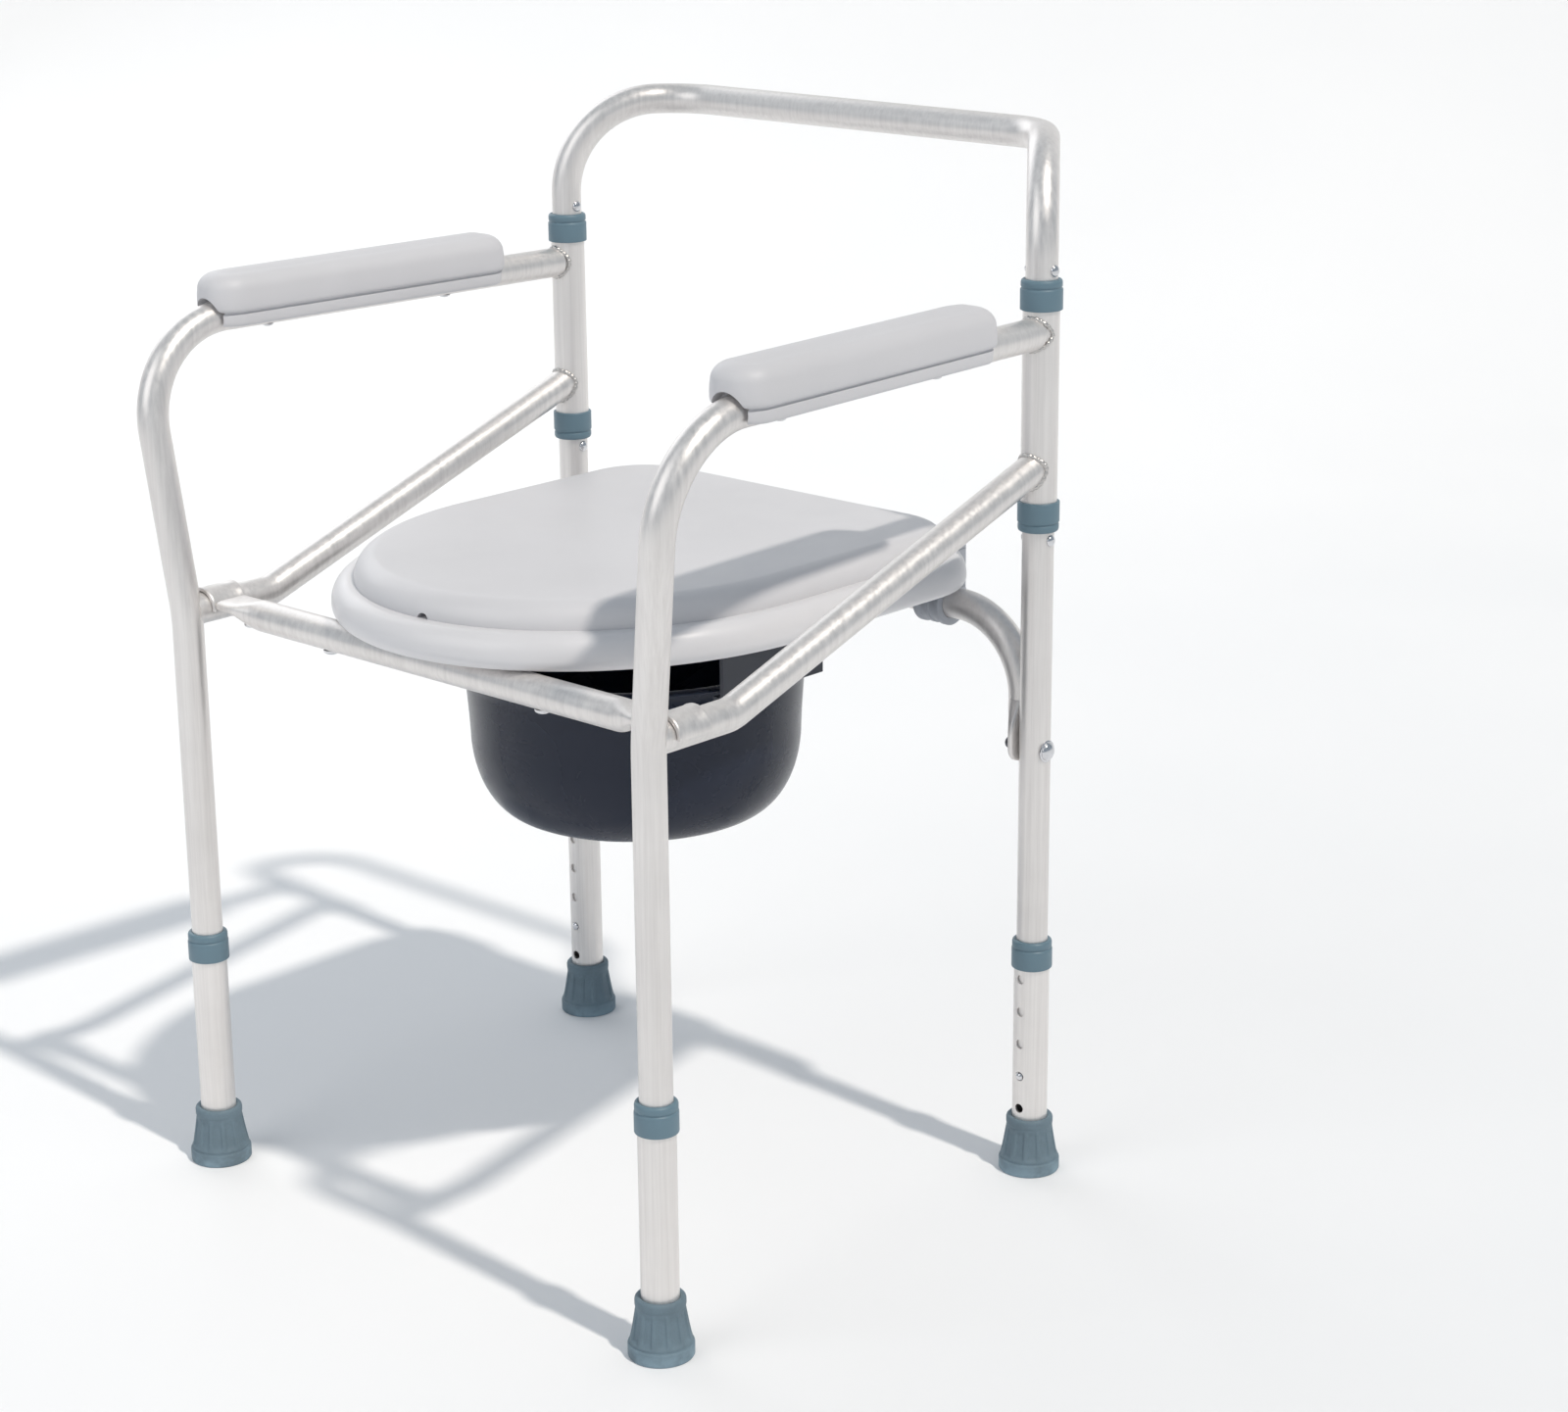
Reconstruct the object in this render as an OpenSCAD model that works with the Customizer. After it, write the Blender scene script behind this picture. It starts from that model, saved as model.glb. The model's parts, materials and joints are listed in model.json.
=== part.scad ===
// Folding commode chair: height-adjustable tube frame, swinging side frames with arm pads,
// lift-up seat with lid, and a pail that slides out on rails under the seat.
// Millimetres. +Z is up, the sitter faces -Y, the floor is Z = 0.

/* [Frame] */
// Half of the distance between the centres of the rear uprights
rear_half_w = 230; // [215:1:245]
// Half of the distance between the centres of the front legs
front_half_w = 228; // [215:1:245]
// Half of the distance from the front legs to the rear uprights
half_depth = 190.5; // [180:0.5:200]
// Outside diameter of the bent frame tubes
tube_d = 22.2; // [21.8:0.1:22.2]
// Wall of the bent frame tubes
tube_wall = 1.2; // [1:0.1:1.6]
// Outside diameter of the sleeves and the leg extensions
outer_d = 25.4; // [25.2:0.1:26]
// Height of the centre of the backrest rail
rail_z = 738; // [725:1:760]
// Height of the centre of the arm tube
arm_z = 617; // [605:1:625]

/* [Legs] */
// Distance between the height holes
hole_pitch = 25; // [24:0.5:25]
// Height of the spring button above the floor
button_z = 75; // [74:0.5:77]
// Diameter of the spring button
button_d = 6; // [5:0.1:6]
// Diameter of the rubber foot at the floor
foot_d = 44; // [40:0.5:48]

/* [Seat] */
// Half width of the lid
lid_half_w = 168; // [164:1:170]
// Thickness of the lid
lid_t = 17; // [14:1:18]
// How far the seat stands out past the lid
seat_margin = 16; // [12:1:18]
// Thickness of the seat
seat_t = 25; // [22:1:25]

/* [Pail] */
// Radius of the pail at the rim
pail_r = 122; // [112:1:123]
// Depth of the pail
pail_h = 119; // [100:1:130]

/* [View] */
// Sub-part to show

/* [Hidden] */
$fn = 64;

fit = 0.1;
tube_r = tube_d / 2;
tube_bore = tube_d - 2 * tube_wall;
outer_r = outer_d / 2;
sliding_bore = tube_d + 2 * fit;

// Backrest hoop
sweep_angle = 52;
hoop_bend_r = 70;
rail_bend_r = 50;
sweep_run = hoop_bend_r + rail_bend_r * tan(sweep_angle / 2) + 1;
rail_y = half_depth + sweep_run * sin(sweep_angle);
rail_half_x = rear_half_w - sweep_run * cos(sweep_angle);

// Middle of the chair from the front feet to the rail, counted from midway between the legs
origin_y = (rail_y + tube_r - half_depth - foot_d / 2) / 2;

// Sleeves and collars
collar_h = 21;
collar_d = 29.2;
lip_h = 3;
lower_collar_z = 479;
upper_collar_z = 632.5;
leg_collar_z = 157.5;
rivet_d = 5;

// Side frames
kink_z = 415;
arm_front_x = 253.5;
arm_front_y = -half_depth - 9;
arm_bend_r = 70;
stub_z = 418;
stub_back_y = -118;
brace_top_z = 526;
pad_w = 46;
pad_bottom_z = 611;
pad_top_z = 649;
pad_front_y = -143;
pad_back_y = 121;
pad_edge_r = 12;
pad_low_r = 5;
pad_h = pad_top_z - pad_bottom_z;

// Legs
leg_end_z = button_z - 13;
extension_bottom_z = 7;
extension_top_z = leg_collar_z + collar_h - lip_h;
foot_h = 42;
hole_clear = 0.4;
button_travel = 4;

// Seat hinge and front bar
hinge_y = 202;
hinge_z = 410;
crossbar_half_x = 210.8;
crossbar_bend_r = 58;
bolt_z = 321;
tab_t = 5;
tab_w = 24;
bar_y = -half_depth + 27.5;
bar_z = 418;
saddle_gap = 0.4;
saddle_t = 2.6;
saddle_w = 29;

// Seat and lid outline
nose_y = 8;
nose_len = 190;
lid_back_y = 203;
corner_r = 55;
seat_z = 429.5;
seat_top_z = seat_z + seat_t;
lid_z = seat_top_z + 1.5;
lid_hinge_y = 211;
lid_hinge_z = lid_z + 1;

// Pail and rails
pail_y = 25;
pail_top_z = 391;
rim_r = 130.4;
rim_t = 3;
pail_wall = 2.2;
rail_gap = 0.4;
rail_web_t = 3;
rail_front_y = -25;
rail_back_y = 75;

// ---------- tube helpers ----------

function unit(v) = v / norm(v);
function turn(a, b, c) = acos(unit(b - a) * unit(c - b));
function set_back(p, r, i) =
    (i == 0 || i == len(p) - 1) ? 0 : r[i] * tan(turn(p[i - 1], p[i], p[i + 1]) / 2);

// Places the children so that their Z axis points along z and their X axis near x
module aim(origin, z, x) {
    zu = unit(z);
    yu = unit(cross(zu, x));
    xu = cross(yu, zu);
    multmatrix([
        [xu[0], yu[0], zu[0], origin[0]],
        [xu[1], yu[1], zu[1], origin[1]],
        [xu[2], yu[2], zu[2], origin[2]],
        [0, 0, 0, 1]
    ])
        children();
}

// A rod along corner points p, with bend radius r[i] at corner i. A ball a hair larger than
// the rod joins each straight run to its bend, with its poles on the rod's axis.
module bent_rod(p, r, d) {
    joint_d = d + 0.06;
    for (i = [0 : len(p) - 2]) {
        dir = unit(p[i + 1] - p[i]);
        from = p[i] + dir * set_back(p, r, i);
        to = p[i + 1] - dir * set_back(p, r, i + 1);
        side = abs(dir[0]) < 0.9 ? [1, 0, 0] : [0, 1, 0];
        aim(from, dir, side) {
            cylinder(d = d, h = norm(to - from));
            if (i > 0)
                sphere(d = joint_d);
            if (i < len(p) - 2)
                translate([0, 0, norm(to - from)])
                    sphere(d = joint_d);
        }
    }
    for (i = [1 : len(p) - 2]) {
        in = unit(p[i] - p[i - 1]);
        out = unit(p[i + 1] - p[i]);
        start = p[i] - in * set_back(p, r, i);
        normal = unit(cross(in, out));
        inward = cross(normal, in);
        aim(start + inward * r[i], normal, -inward)
            rotate_extrude(angle = turn(p[i - 1], p[i], p[i + 1]), $fn = 128)
                translate([r[i], 0])
                    circle(d = d);
    }
}

module bent_tube(p, r, d, bore) {
    difference() {
        bent_rod(p, r, d);
        bent_rod(p, r, bore);
    }
}

module section(d, bore) {
    difference() {
        circle(d = d);
        circle(d = bore);
    }
}

module ring(d, bore, h) {
    linear_extrude(h)
        section(d, bore);
}

module dome(d, h) {
    rotate_extrude()
        intersection() {
            translate([0, h - dome_r(d, h)])
                circle(r = dome_r(d, h));
            square([d, h]);
        }
}
function dome_r(d, h) = (d * d / 4 + h * h) / (2 * h);

// ---------- back frame ----------

module upright_pins(x, z) {
    translate([x, half_depth, z])
        rotate([0, 90, 0])
            cylinder(d = rivet_d, h = 60, center = true);
}

module back_hoop() {
    corner = [
        [rear_half_w, half_depth, leg_end_z],
        [rear_half_w, half_depth, rail_z],
        [rail_half_x, rail_y, rail_z],
        [-rail_half_x, rail_y, rail_z],
        [-rear_half_w, half_depth, rail_z],
        [-rear_half_w, half_depth, leg_end_z]
    ];
    color("gainsboro")
        difference() {
            bent_tube(corner, [0, hoop_bend_r, rail_bend_r, rail_bend_r, hoop_bend_r, 0],
                tube_d, tube_bore);
            for (x = [-rear_half_w, rear_half_w]) {
                for (z = [lower_collar_z - 6, upper_collar_z + collar_h + 6, bolt_z])
                    upright_pins(x, z);
                translate([x, half_depth, button_z])
                    rotate([90, 0, 0])
                        cylinder(d = button_d + 2 * fit, h = 20);
            }
        }
}

module stop_rivets() {
    color("silver")
        for (x = [-rear_half_w, rear_half_w])
            for (z = [lower_collar_z - 6, upper_collar_z + collar_h + 6])
                translate([x, half_depth, z]) {
                    rotate([0, 90, 0])
                        cylinder(d = rivet_d, h = tube_d, center = true);
                    for (s = [-1, 1])
                        translate([s * (tube_r - 0.3), 0, 0])
                            rotate([0, s * 90, 0])
                                dome(8, 3);
                }
}

// One end of the crossbar: a flat tab that runs from the tube down the inside of the leg
module crossbar_tab(s) {
    tab_x = rear_half_w - tube_r - tab_t - 0.1;
    half_w = tab_w / 2;
    top_z = hinge_z - crossbar_bend_r + 8;
    translate([s > 0 ? tab_x : -tab_x - tab_t, 0, 0])
        rotate([90, 0, 90])
            linear_extrude(tab_t)
                difference() {
                    union() {
                        translate([half_depth, bolt_z])
                            circle(r = half_w);
                        polygon([
                            [half_depth - half_w, bolt_z],
                            [half_depth + half_w, bolt_z],
                            [hinge_y + 8, top_z - 12],
                            [hinge_y + 8, top_z],
                            [hinge_y - 8, top_z],
                            [half_depth - half_w, top_z - 22]
                        ]);
                    }
                    translate([half_depth, bolt_z])
                        circle(d = rivet_d + 1);
                }
}

module rear_crossbar() {
    arc_end_z = hinge_z - crossbar_bend_r;
    corner = [
        [crossbar_half_x, hinge_y, arc_end_z],
        [crossbar_half_x, hinge_y, hinge_z],
        [-crossbar_half_x, hinge_y, hinge_z],
        [-crossbar_half_x, hinge_y, arc_end_z]
    ];
    color("gainsboro") {
        bent_tube(corner, [0, crossbar_bend_r, crossbar_bend_r, 0], tube_d, tube_bore);
        for (s = [-1, 1])
            crossbar_tab(s);
    }
}

module crossbar_bolts() {
    color("silver")
        for (s = [-1, 1])
            translate([s * rear_half_w, half_depth, bolt_z])
                rotate([0, s * 90, 0]) {
                    translate([0, 0, -tube_r - tab_t - 9])
                        cylinder(d = rivet_d, h = 2 * tube_r + tab_t + 9);
                    translate([0, 0, tube_r - 0.3])
                        dome(13, 4.5);
                }
}

module crossbar_nuts() {
    color("dimgray")
        for (s = [-1, 1])
            translate([s * (rear_half_w - tube_r - tab_t - 0.1), half_depth, bolt_z])
                rotate([0, -s * 90, 0])
                    difference() {
                        union() {
                            cylinder(d = 11, h = 5, $fn = 6);
                            translate([0, 0, 5])
                                dome(9.5, 5);
                        }
                        translate([0, 0, -1])
                            cylinder(d = rivet_d, h = 10);
                    }
}

// ---------- side frames, drawn on the +X side ----------

function leg_arm_corner() = [
    [front_half_w, -half_depth, leg_end_z],
    [front_half_w, -half_depth, kink_z],
    [arm_front_x, arm_front_y, arm_z],
    [rear_half_w + 1, half_depth, arm_z]
];
leg_arm_bend = [0, 150, arm_bend_r, 0];

module sleeve_space() {
    translate([rear_half_w, half_depth, lower_collar_z])
        cylinder(d = outer_d, h = upper_collar_z + collar_h - lower_collar_z);
}

module leg_arm_tube() {
    color("gainsboro")
        difference() {
            bent_tube(leg_arm_corner(), leg_arm_bend, tube_d, tube_bore);
            sleeve_space();
            translate([front_half_w, -half_depth, button_z])
                rotate([-90, 0, 0])
                    cylinder(d = button_d + 2 * fit, h = 20);
            for (y = pad_screw_y())
                along_arm(y)
                    translate([0, 0, -20])
                        cylinder(d = 4.2, h = 25);
        }
}

function pad_screw_y() = [-90, 70];
function arm_x(y) = arm_front_x
    + (rear_half_w + 1 - arm_front_x) * (y - arm_front_y) / (half_depth - arm_front_y);

// Places the children on the arm tube's centre line at y, with their Y axis along the tube
module along_arm(y) {
    translate([arm_x(y), y, arm_z])
        rotate([0, 0, atan2(arm_front_x - rear_half_w - 1, half_depth - arm_front_y)])
            children();
}

module brace() {
    corner = [
        [front_half_w, -half_depth + 4, stub_z],
        [front_half_w, stub_back_y, stub_z],
        [rear_half_w, half_depth, brace_top_z]
    ];
    color("gainsboro")
        difference() {
            bent_tube(corner, [0, 30, 0], tube_d, tube_bore);
            sleeve_space();
            translate([front_half_w, -half_depth, stub_z - 40])
                cylinder(d = tube_d, h = 80);
        }
}

module sleeve() {
    color("silver")
        translate([rear_half_w, half_depth, lower_collar_z + lip_h])
            ring(outer_d, sliding_bore, upper_collar_z + collar_h - lower_collar_z - 2 * lip_h);
}

// A plastic bush pushed over the end of an outer tube, with a lip against the inner tube
module collar_up() {
    rotate_extrude()
        difference() {
            translate([sliding_bore / 2, 0])
                square([(collar_d - sliding_bore) / 2, collar_h]);
            translate([0, -1])
                square([outer_r, collar_h - lip_h + 1]);
            translate([collar_d / 2, collar_h])
                rotate(45)
                    square(2, center = true);
        }
}

module upper_collar() {
    color("slategray")
        translate([rear_half_w, half_depth, upper_collar_z])
            collar_up();
}

module lower_collar() {
    color("slategray")
        translate([rear_half_w, half_depth, lower_collar_z + collar_h])
            mirror([0, 0, 1])
                collar_up();
}

// Half of a rounded section: width half_w, height h, radius top_r above and low_r below
module half_profile(half_w, h, top_r, low_r, z = 0) {
    translate([0, z]) {
        square([half_w - top_r, h]);
        translate([0, low_r])
            square([half_w, h - top_r - low_r]);
        square([half_w - low_r, low_r]);
        translate([half_w - top_r, h - top_r])
            intersection() {
                circle(r = top_r);
                square(top_r);
            }
        translate([half_w - low_r, low_r])
            intersection() {
                circle(r = low_r);
                translate([0, -low_r])
                    square(low_r);
            }
    }
}

module whole_profile(half_w, h, top_r, low_r, z = 0) {
    half_profile(half_w, h, top_r, low_r, z);
    mirror([1, 0])
        half_profile(half_w, h, top_r, low_r, z);
}

module arm_pad() {
    len = pad_back_y - pad_front_y - pad_w;
    color("lightgray")
        difference() {
            along_arm((pad_front_y + pad_back_y) / 2)
                translate([0, 0, pad_bottom_z - arm_z]) {
                    rotate([90, 0, 0])
                        translate([0, 0, -len / 2])
                            linear_extrude(len)
                                whole_profile(pad_w / 2, pad_h, pad_edge_r, pad_low_r);
                    for (s = [0, 180])
                        rotate([0, 0, s])
                            translate([0, len / 2, 0])
                                rotate_extrude(angle = 180)
                                    half_profile(pad_w / 2, pad_h, pad_edge_r, pad_low_r);
                }
            bent_rod(leg_arm_corner(), leg_arm_bend, tube_d + 2 * fit);
            for (y = pad_screw_y())
                along_arm(y)
                    cylinder(d = 4, h = 26);
        }
}

module pad_screws() {
    color("silver")
        for (y = pad_screw_y())
            along_arm(y) {
                translate([0, 0, -tube_r])
                    cylinder(d = 4, h = tube_r + 26);
                translate([0, 0, -tube_r + 0.4])
                    rotate([180, 0, 0])
                        dome(8, 2.6);
            }
}

// ---------- seat unit ----------

// A slab of the seat outline, grown by margin, from z up by h: an oval nose, straight sides
// and a straight back with round corners
module outline_slab(margin, z, h, top_r, low_r) {
    half_w = lid_half_w + margin;
    back_y = lid_back_y + margin / 8;
    translate([0, nose_y, 0])
        scale([1, (nose_len + margin) / half_w, 1])
            rotate([0, 0, 180])
                rotate_extrude(angle = 180, $fn = 160)
                    half_profile(half_w, h, top_r, low_r, z);
    translate([0, back_y - corner_r, 0])
        rotate([90, 0, 0])
            linear_extrude(back_y - corner_r - nose_y)
                whole_profile(half_w, h, top_r, low_r, z);
    for (s = [0, 1])
        mirror([s, 0, 0])
            translate([half_w - corner_r, back_y - corner_r, 0]) {
                rotate_extrude(angle = 90)
                    half_profile(corner_r, h, top_r, low_r, z);
                rotate([90, 0, -90])
                    linear_extrude(half_w - corner_r)
                        mirror([1, 0])
                            half_profile(corner_r, h, top_r, low_r, z);
            }
}

module seat() {
    hole_r = 98;
    color("lightgray")
        difference() {
            union() {
                outline_slab(seat_margin, seat_z, seat_t, 11, 9);
                for (x = lid_lug_x())
                    translate([x[1] - 7, lid_hinge_y - 22, seat_z + 8])
                        cube([14, 22, lid_hinge_z - seat_z - 8]);
                for (x = lid_lug_x())
                    translate([x[1] - 7, lid_hinge_y, lid_hinge_z])
                        rotate([0, 90, 0])
                            cylinder(r = 6, h = 14);
            }
            for (y = [-18, 32])
                translate([0, y, seat_z - 1])
                    cylinder(r = hole_r, h = seat_t + 2, $fn = 128);
            translate([-hole_r, -18, seat_z - 1])
                cube([2 * hole_r, 50, seat_t + 2]);
            translate([0, lid_hinge_y, lid_hinge_z])
                rotate([0, 90, 0])
                    cylinder(d = 4 + 2 * fit, h = 400, center = true);
            translate([0, lid_hinge_y + 1, seat_top_z + 0.3])
                for (x = lid_lug_x())
                    translate([x[1] - 8, -30, 0])
                        cube([16, 21.5, 12]);
            for (p = bracket_screw_xy())
                translate([p[0], p[1], seat_z - 1])
                    cylinder(d = 4, h = 14);
            for (p = rail_screw_xy())
                translate([p[0], p[1], seat_z - 1])
                    cylinder(d = 4, h = 14);
            for (x = bar_rivet_x())
                translate([x, bar_y, seat_z - 1])
                    cylinder(d = 5, h = 14);
        }
}

// For each hinge: centre of the lid's lug and centre of the seat's lug
function lid_lug_x() = [[-88, -104], [88, 104]];
function bar_rivet_x() = [-105, 105];
function hinge_bracket_x() = [-133, 133];
function bracket_screw_xy() = [for (x = hinge_bracket_x()) [x, hinge_y - 22]];
function rail_screw_xy() = [for (x = [-142, 142], y = [-10, 60]) [x, y]];

module lid() {
    color("gainsboro")
        difference() {
            union() {
                outline_slab(0, lid_z, lid_t, 8, 2);
                for (x = lid_lug_x()) {
                    translate([x[0] - 7, lid_back_y - 12, lid_hinge_z - 1])
                        cube([14, lid_hinge_y - lid_back_y + 12, 7]);
                    translate([x[0] - 7, lid_hinge_y, lid_hinge_z])
                        rotate([0, 90, 0])
                            cylinder(r = 6, h = 14);
                }
            }
            translate([0, lid_hinge_y, lid_hinge_z])
                rotate([0, 90, 0])
                    cylinder(d = 4 + 2 * fit, h = 400, center = true);
            for (x = lid_lug_x())
                translate([x[1] - 7.5, lid_hinge_y - 7, lid_z - 5])
                    cube([15, 14, lid_t + 10]);
            lid_notch();
            for (p = lid_buffer_xy())
                translate([p[0], p[1], lid_z - 1])
                    cylinder(d = 8, h = 4);
        }
}

// A finger notch in the lid's lower front edge
module lid_notch() {
    notch_x = 12;
    notch_y = nose_y - nose_len * sqrt(1 - pow(notch_x / lid_half_w, 2));
    translate([notch_x, notch_y, lid_z])
        rotate([90, 0, 4])
            cylinder(r = 7, h = 16, center = true);
}

function lid_buffer_xy() = [[-120, -60], [120, -60], [-130, 150], [130, 150]];

module lid_buffers() {
    color("dimgray")
        for (p = lid_buffer_xy())
            translate([p[0], p[1], seat_top_z + 0.2])
                cylinder(d = 8, h = lid_z + 3 - seat_top_z - 0.2);
}

module lid_hinge_pins() {
    color("silver")
        for (x = lid_lug_x())
            translate([(x[0] + x[1]) / 2, lid_hinge_y, lid_hinge_z])
                rotate([0, 90, 0]) {
                    cylinder(d = 4, h = 34, center = true);
                    for (s = [-1, 1])
                        translate([0, 0, s * 16.5])
                            cylinder(d = 7, h = 1.5, center = true);
                }
}

// Plastic bearing that turns on the rear crossbar and carries the back of the seat
module hinge_brackets() {
    color("gray")
        for (x = hinge_bracket_x())
            translate([x, hinge_y, hinge_z])
                difference() {
                    union() {
                        rotate([0, 90, 0])
                            cylinder(r = 17, h = 24, center = true);
                        translate([-12, -34, seat_z - hinge_z - 4])
                            cube([24, 34, 4]);
                        translate([-12, -14, 0])
                            cube([24, 14, seat_z - hinge_z - 1]);
                        for (rib_x = [-12, 8])
                            translate([rib_x, -30, 2])
                                cube([4, 20, seat_z - hinge_z - 4]);
                        translate([-12, 4.5, 0])
                            cube([24, 10.5, 40]);
                    }
                    rotate([0, 90, 0])
                        cylinder(d = sliding_bore, h = 30, center = true);
                    translate([0, -22, 10])
                        cylinder(d = 4, h = 20);
                }
}

module bracket_screws() {
    color("silver")
        for (p = bracket_screw_xy())
            translate([p[0], p[1], seat_z - 4]) {
                cylinder(d = 4, h = 14);
                rotate([180, 0, 0])
                    dome(7.5, 2.4);
            }
}

module front_bar() {
    round_half = 186;
    strap_z = bar_z + 2;
    saddle_in = tube_r + saddle_gap;
    saddle_out = saddle_in + saddle_t;
    color("gainsboro") {
        difference() {
            translate([-round_half, bar_y, bar_z])
                rotate([0, 90, 0])
                    ring(tube_d, tube_bore, 2 * round_half);
            for (x = bar_rivet_x())
                translate([x, bar_y, bar_z - 20])
                    cylinder(d = 5, h = 40);
        }
        for (s = [-1, 1])
            difference() {
                union() {
                    hull() {
                        translate([s * (round_half + 1), bar_y, bar_z])
                            rotate([0, 90, 0])
                                cylinder(d = tube_d, h = 2, center = true, $fn = 32);
                        translate([s * 206, bar_y, strap_z])
                            cube([1, saddle_w, 7], center = true);
                    }
                    translate([s * 211, bar_y, strap_z])
                        cube([10, saddle_w, 7], center = true);
                    translate([s * front_half_w, bar_y, stub_z])
                        rotate([90, 0, 0])
                            cylinder(r = saddle_out, h = saddle_w, center = true);
                }
                translate([s * front_half_w, bar_y, stub_z])
                    rotate([90, 0, 0])
                        cylinder(r = saddle_in, h = saddle_w + 2, center = true);
                translate([s * (front_half_w + 3), bar_y, stub_z - 15])
                    cube([36, saddle_w + 2, 30], center = true);
            }
    }
}

module front_bar_rivets() {
    color("silver")
        for (x = bar_rivet_x())
            translate([x, bar_y, bar_z - tube_r]) {
                cylinder(d = 5, h = seat_z + 10 - bar_z + tube_r);
                translate([0, 0, 0.4])
                    rotate([180, 0, 0])
                        dome(11, 4);
            }
}

module pail_rails() {
    web_x = rim_r + rail_gap;
    ledge_z = pail_top_z - rim_t - rail_gap;
    ledge_t = 3;
    color("dimgray")
        for (s = [0, 1])
            mirror([s, 0, 0])
                difference() {
                    union() {
                        translate([web_x, rail_front_y, ledge_z - ledge_t])
                            cube([rail_web_t, rail_back_y - rail_front_y, seat_z - ledge_z + ledge_t]);
                        translate([web_x - 6.5, rail_front_y, ledge_z - ledge_t])
                            cube([6.5, rail_back_y - rail_front_y, ledge_t]);
                        translate([web_x, rail_front_y, seat_z - 3])
                            cube([20, rail_back_y - rail_front_y, 3]);
                    }
                    for (p = rail_screw_xy())
                        translate([p[0], p[1], seat_z - 5])
                            cylinder(d = 4, h = 8);
                }
}

module rail_screws() {
    color("silver")
        for (p = rail_screw_xy())
            translate([p[0], p[1], seat_z - 3]) {
                cylinder(d = 4, h = 13);
                rotate([180, 0, 0])
                    dome(7, 2.2);
            }
}

module pail() {
    bottom_r = 88;
    knee_r = 117;
    knee_h = 58;
    foot_round = 20;
    color("midnightblue")
        translate([0, pail_y, pail_top_z - pail_h])
            rotate_extrude($fn = 128)
                difference() {
                    union() {
                        pail_outline(bottom_r, foot_round, knee_r, knee_h, pail_r, pail_h);
                        translate([0, pail_h - rim_t])
                            square([rim_r, rim_t]);
                    }
                    translate([0, pail_wall])
                        pail_outline(bottom_r, foot_round, knee_r - pail_wall, knee_h,
                            pail_r - pail_wall, pail_h + 1);
                }
}

// Half section of a tapered pail with a rounded bottom corner
module pail_outline(r0, corner, r1, h1, r2, h2) {
    steps = 8;
    polygon(concat(
        [[0, 0]],
        [for (i = [0 : steps])
            [r0 + (r1 - r0) * 0.72 * sin(90 * i / steps), corner * 1.1 * (1 - cos(90 * i / steps))]],
        [[r1 - 2.5, h1 * 0.72], [r1, h1], [r2, h2], [0, h2]]
    ));
}

// ---------- leg extensions ----------

// The children are placed at a leg; holes face -Y at the rear and +Y at the front
module at_leg(front, s) {
    x = front ? front_half_w : rear_half_w;
    y = front ? -half_depth : half_depth;
    translate([s * x, y, 0])
        rotate([0, 0, front ? 180 : 0])
            children();
}

module extension() {
    color("gainsboro")
        difference() {
            translate([0, 0, extension_bottom_z])
                ring(outer_d, sliding_bore, extension_top_z - extension_bottom_z);
            for (i = [-1 : 3])
                translate([0, 0, button_z + i * hole_pitch])
                    rotate([90, 0, 0])
                        cylinder(d = button_d + 2 * hole_clear, h = 20);
        }
}

module leg_collar() {
    color("slategray")
        translate([0, 0, leg_collar_z])
            collar_up();
}

module foot() {
    ribs = 16;
    color("slategray")
        difference() {
            rotate_extrude()
                polygon([
                    [0, 0], [foot_d / 2 - 1.5, 0], [foot_d / 2, 1.5], [foot_d / 2, 9],
                    [foot_d / 2 - 1.2, 10.5], [16.6, foot_h - 2], [15.4, foot_h], [0, foot_h]
                ]);
            translate([0, 0, extension_bottom_z])
                cylinder(d = outer_d, h = foot_h);
            for (r = [6, 12, 17.5])
                translate([0, 0, -0.01])
                    ring(2 * r + 2.4, 2 * r, 1.6);
            translate([0, 0, -0.01])
                cylinder(d = 5, h = 3);
            for (i = [0 : ribs - 1])
                rotate([0, 0, i * 360 / ribs])
                    translate([foot_d / 2 + 3.2, 0, 12])
                        rotate([0, -9, 0])
                            cylinder(r = 4, h = 26, $fn = 32);
        }
}

// A spring button: the pin goes through both tubes, and the leaf behind it pushes it out
module button() {
    tip = outer_r + 1.6;
    color("silver")
        translate([0, 0, button_z])
            rotate([90, 0, 0]) {
                translate([0, 0, tube_bore / 2 - 2])
                    cylinder(d = button_d, h = tip - tube_bore / 2 + 0.5);
                translate([0, 0, tip - 1.5])
                    dome(button_d, 1.5);
                translate([0, 0, tube_bore / 2 - 3])
                    cylinder(d = 9, h = 1);
                translate([-3.5, -3, tube_bore / 2 - 3.8])
                    cube([7, 34, 0.8]);
                translate([-3.5, 30.2, tube_bore / 2 - 12.5])
                    cube([7, 0.8, 9.5]);
            }
}

// ---------- nodes ----------

// Puts the origin on the floor at the middle of the chair's length
module placed() {
    translate([0, -origin_y, 0])
        children();
}

module right() {
    mirror([1, 0, 0])
        children();
}

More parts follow.
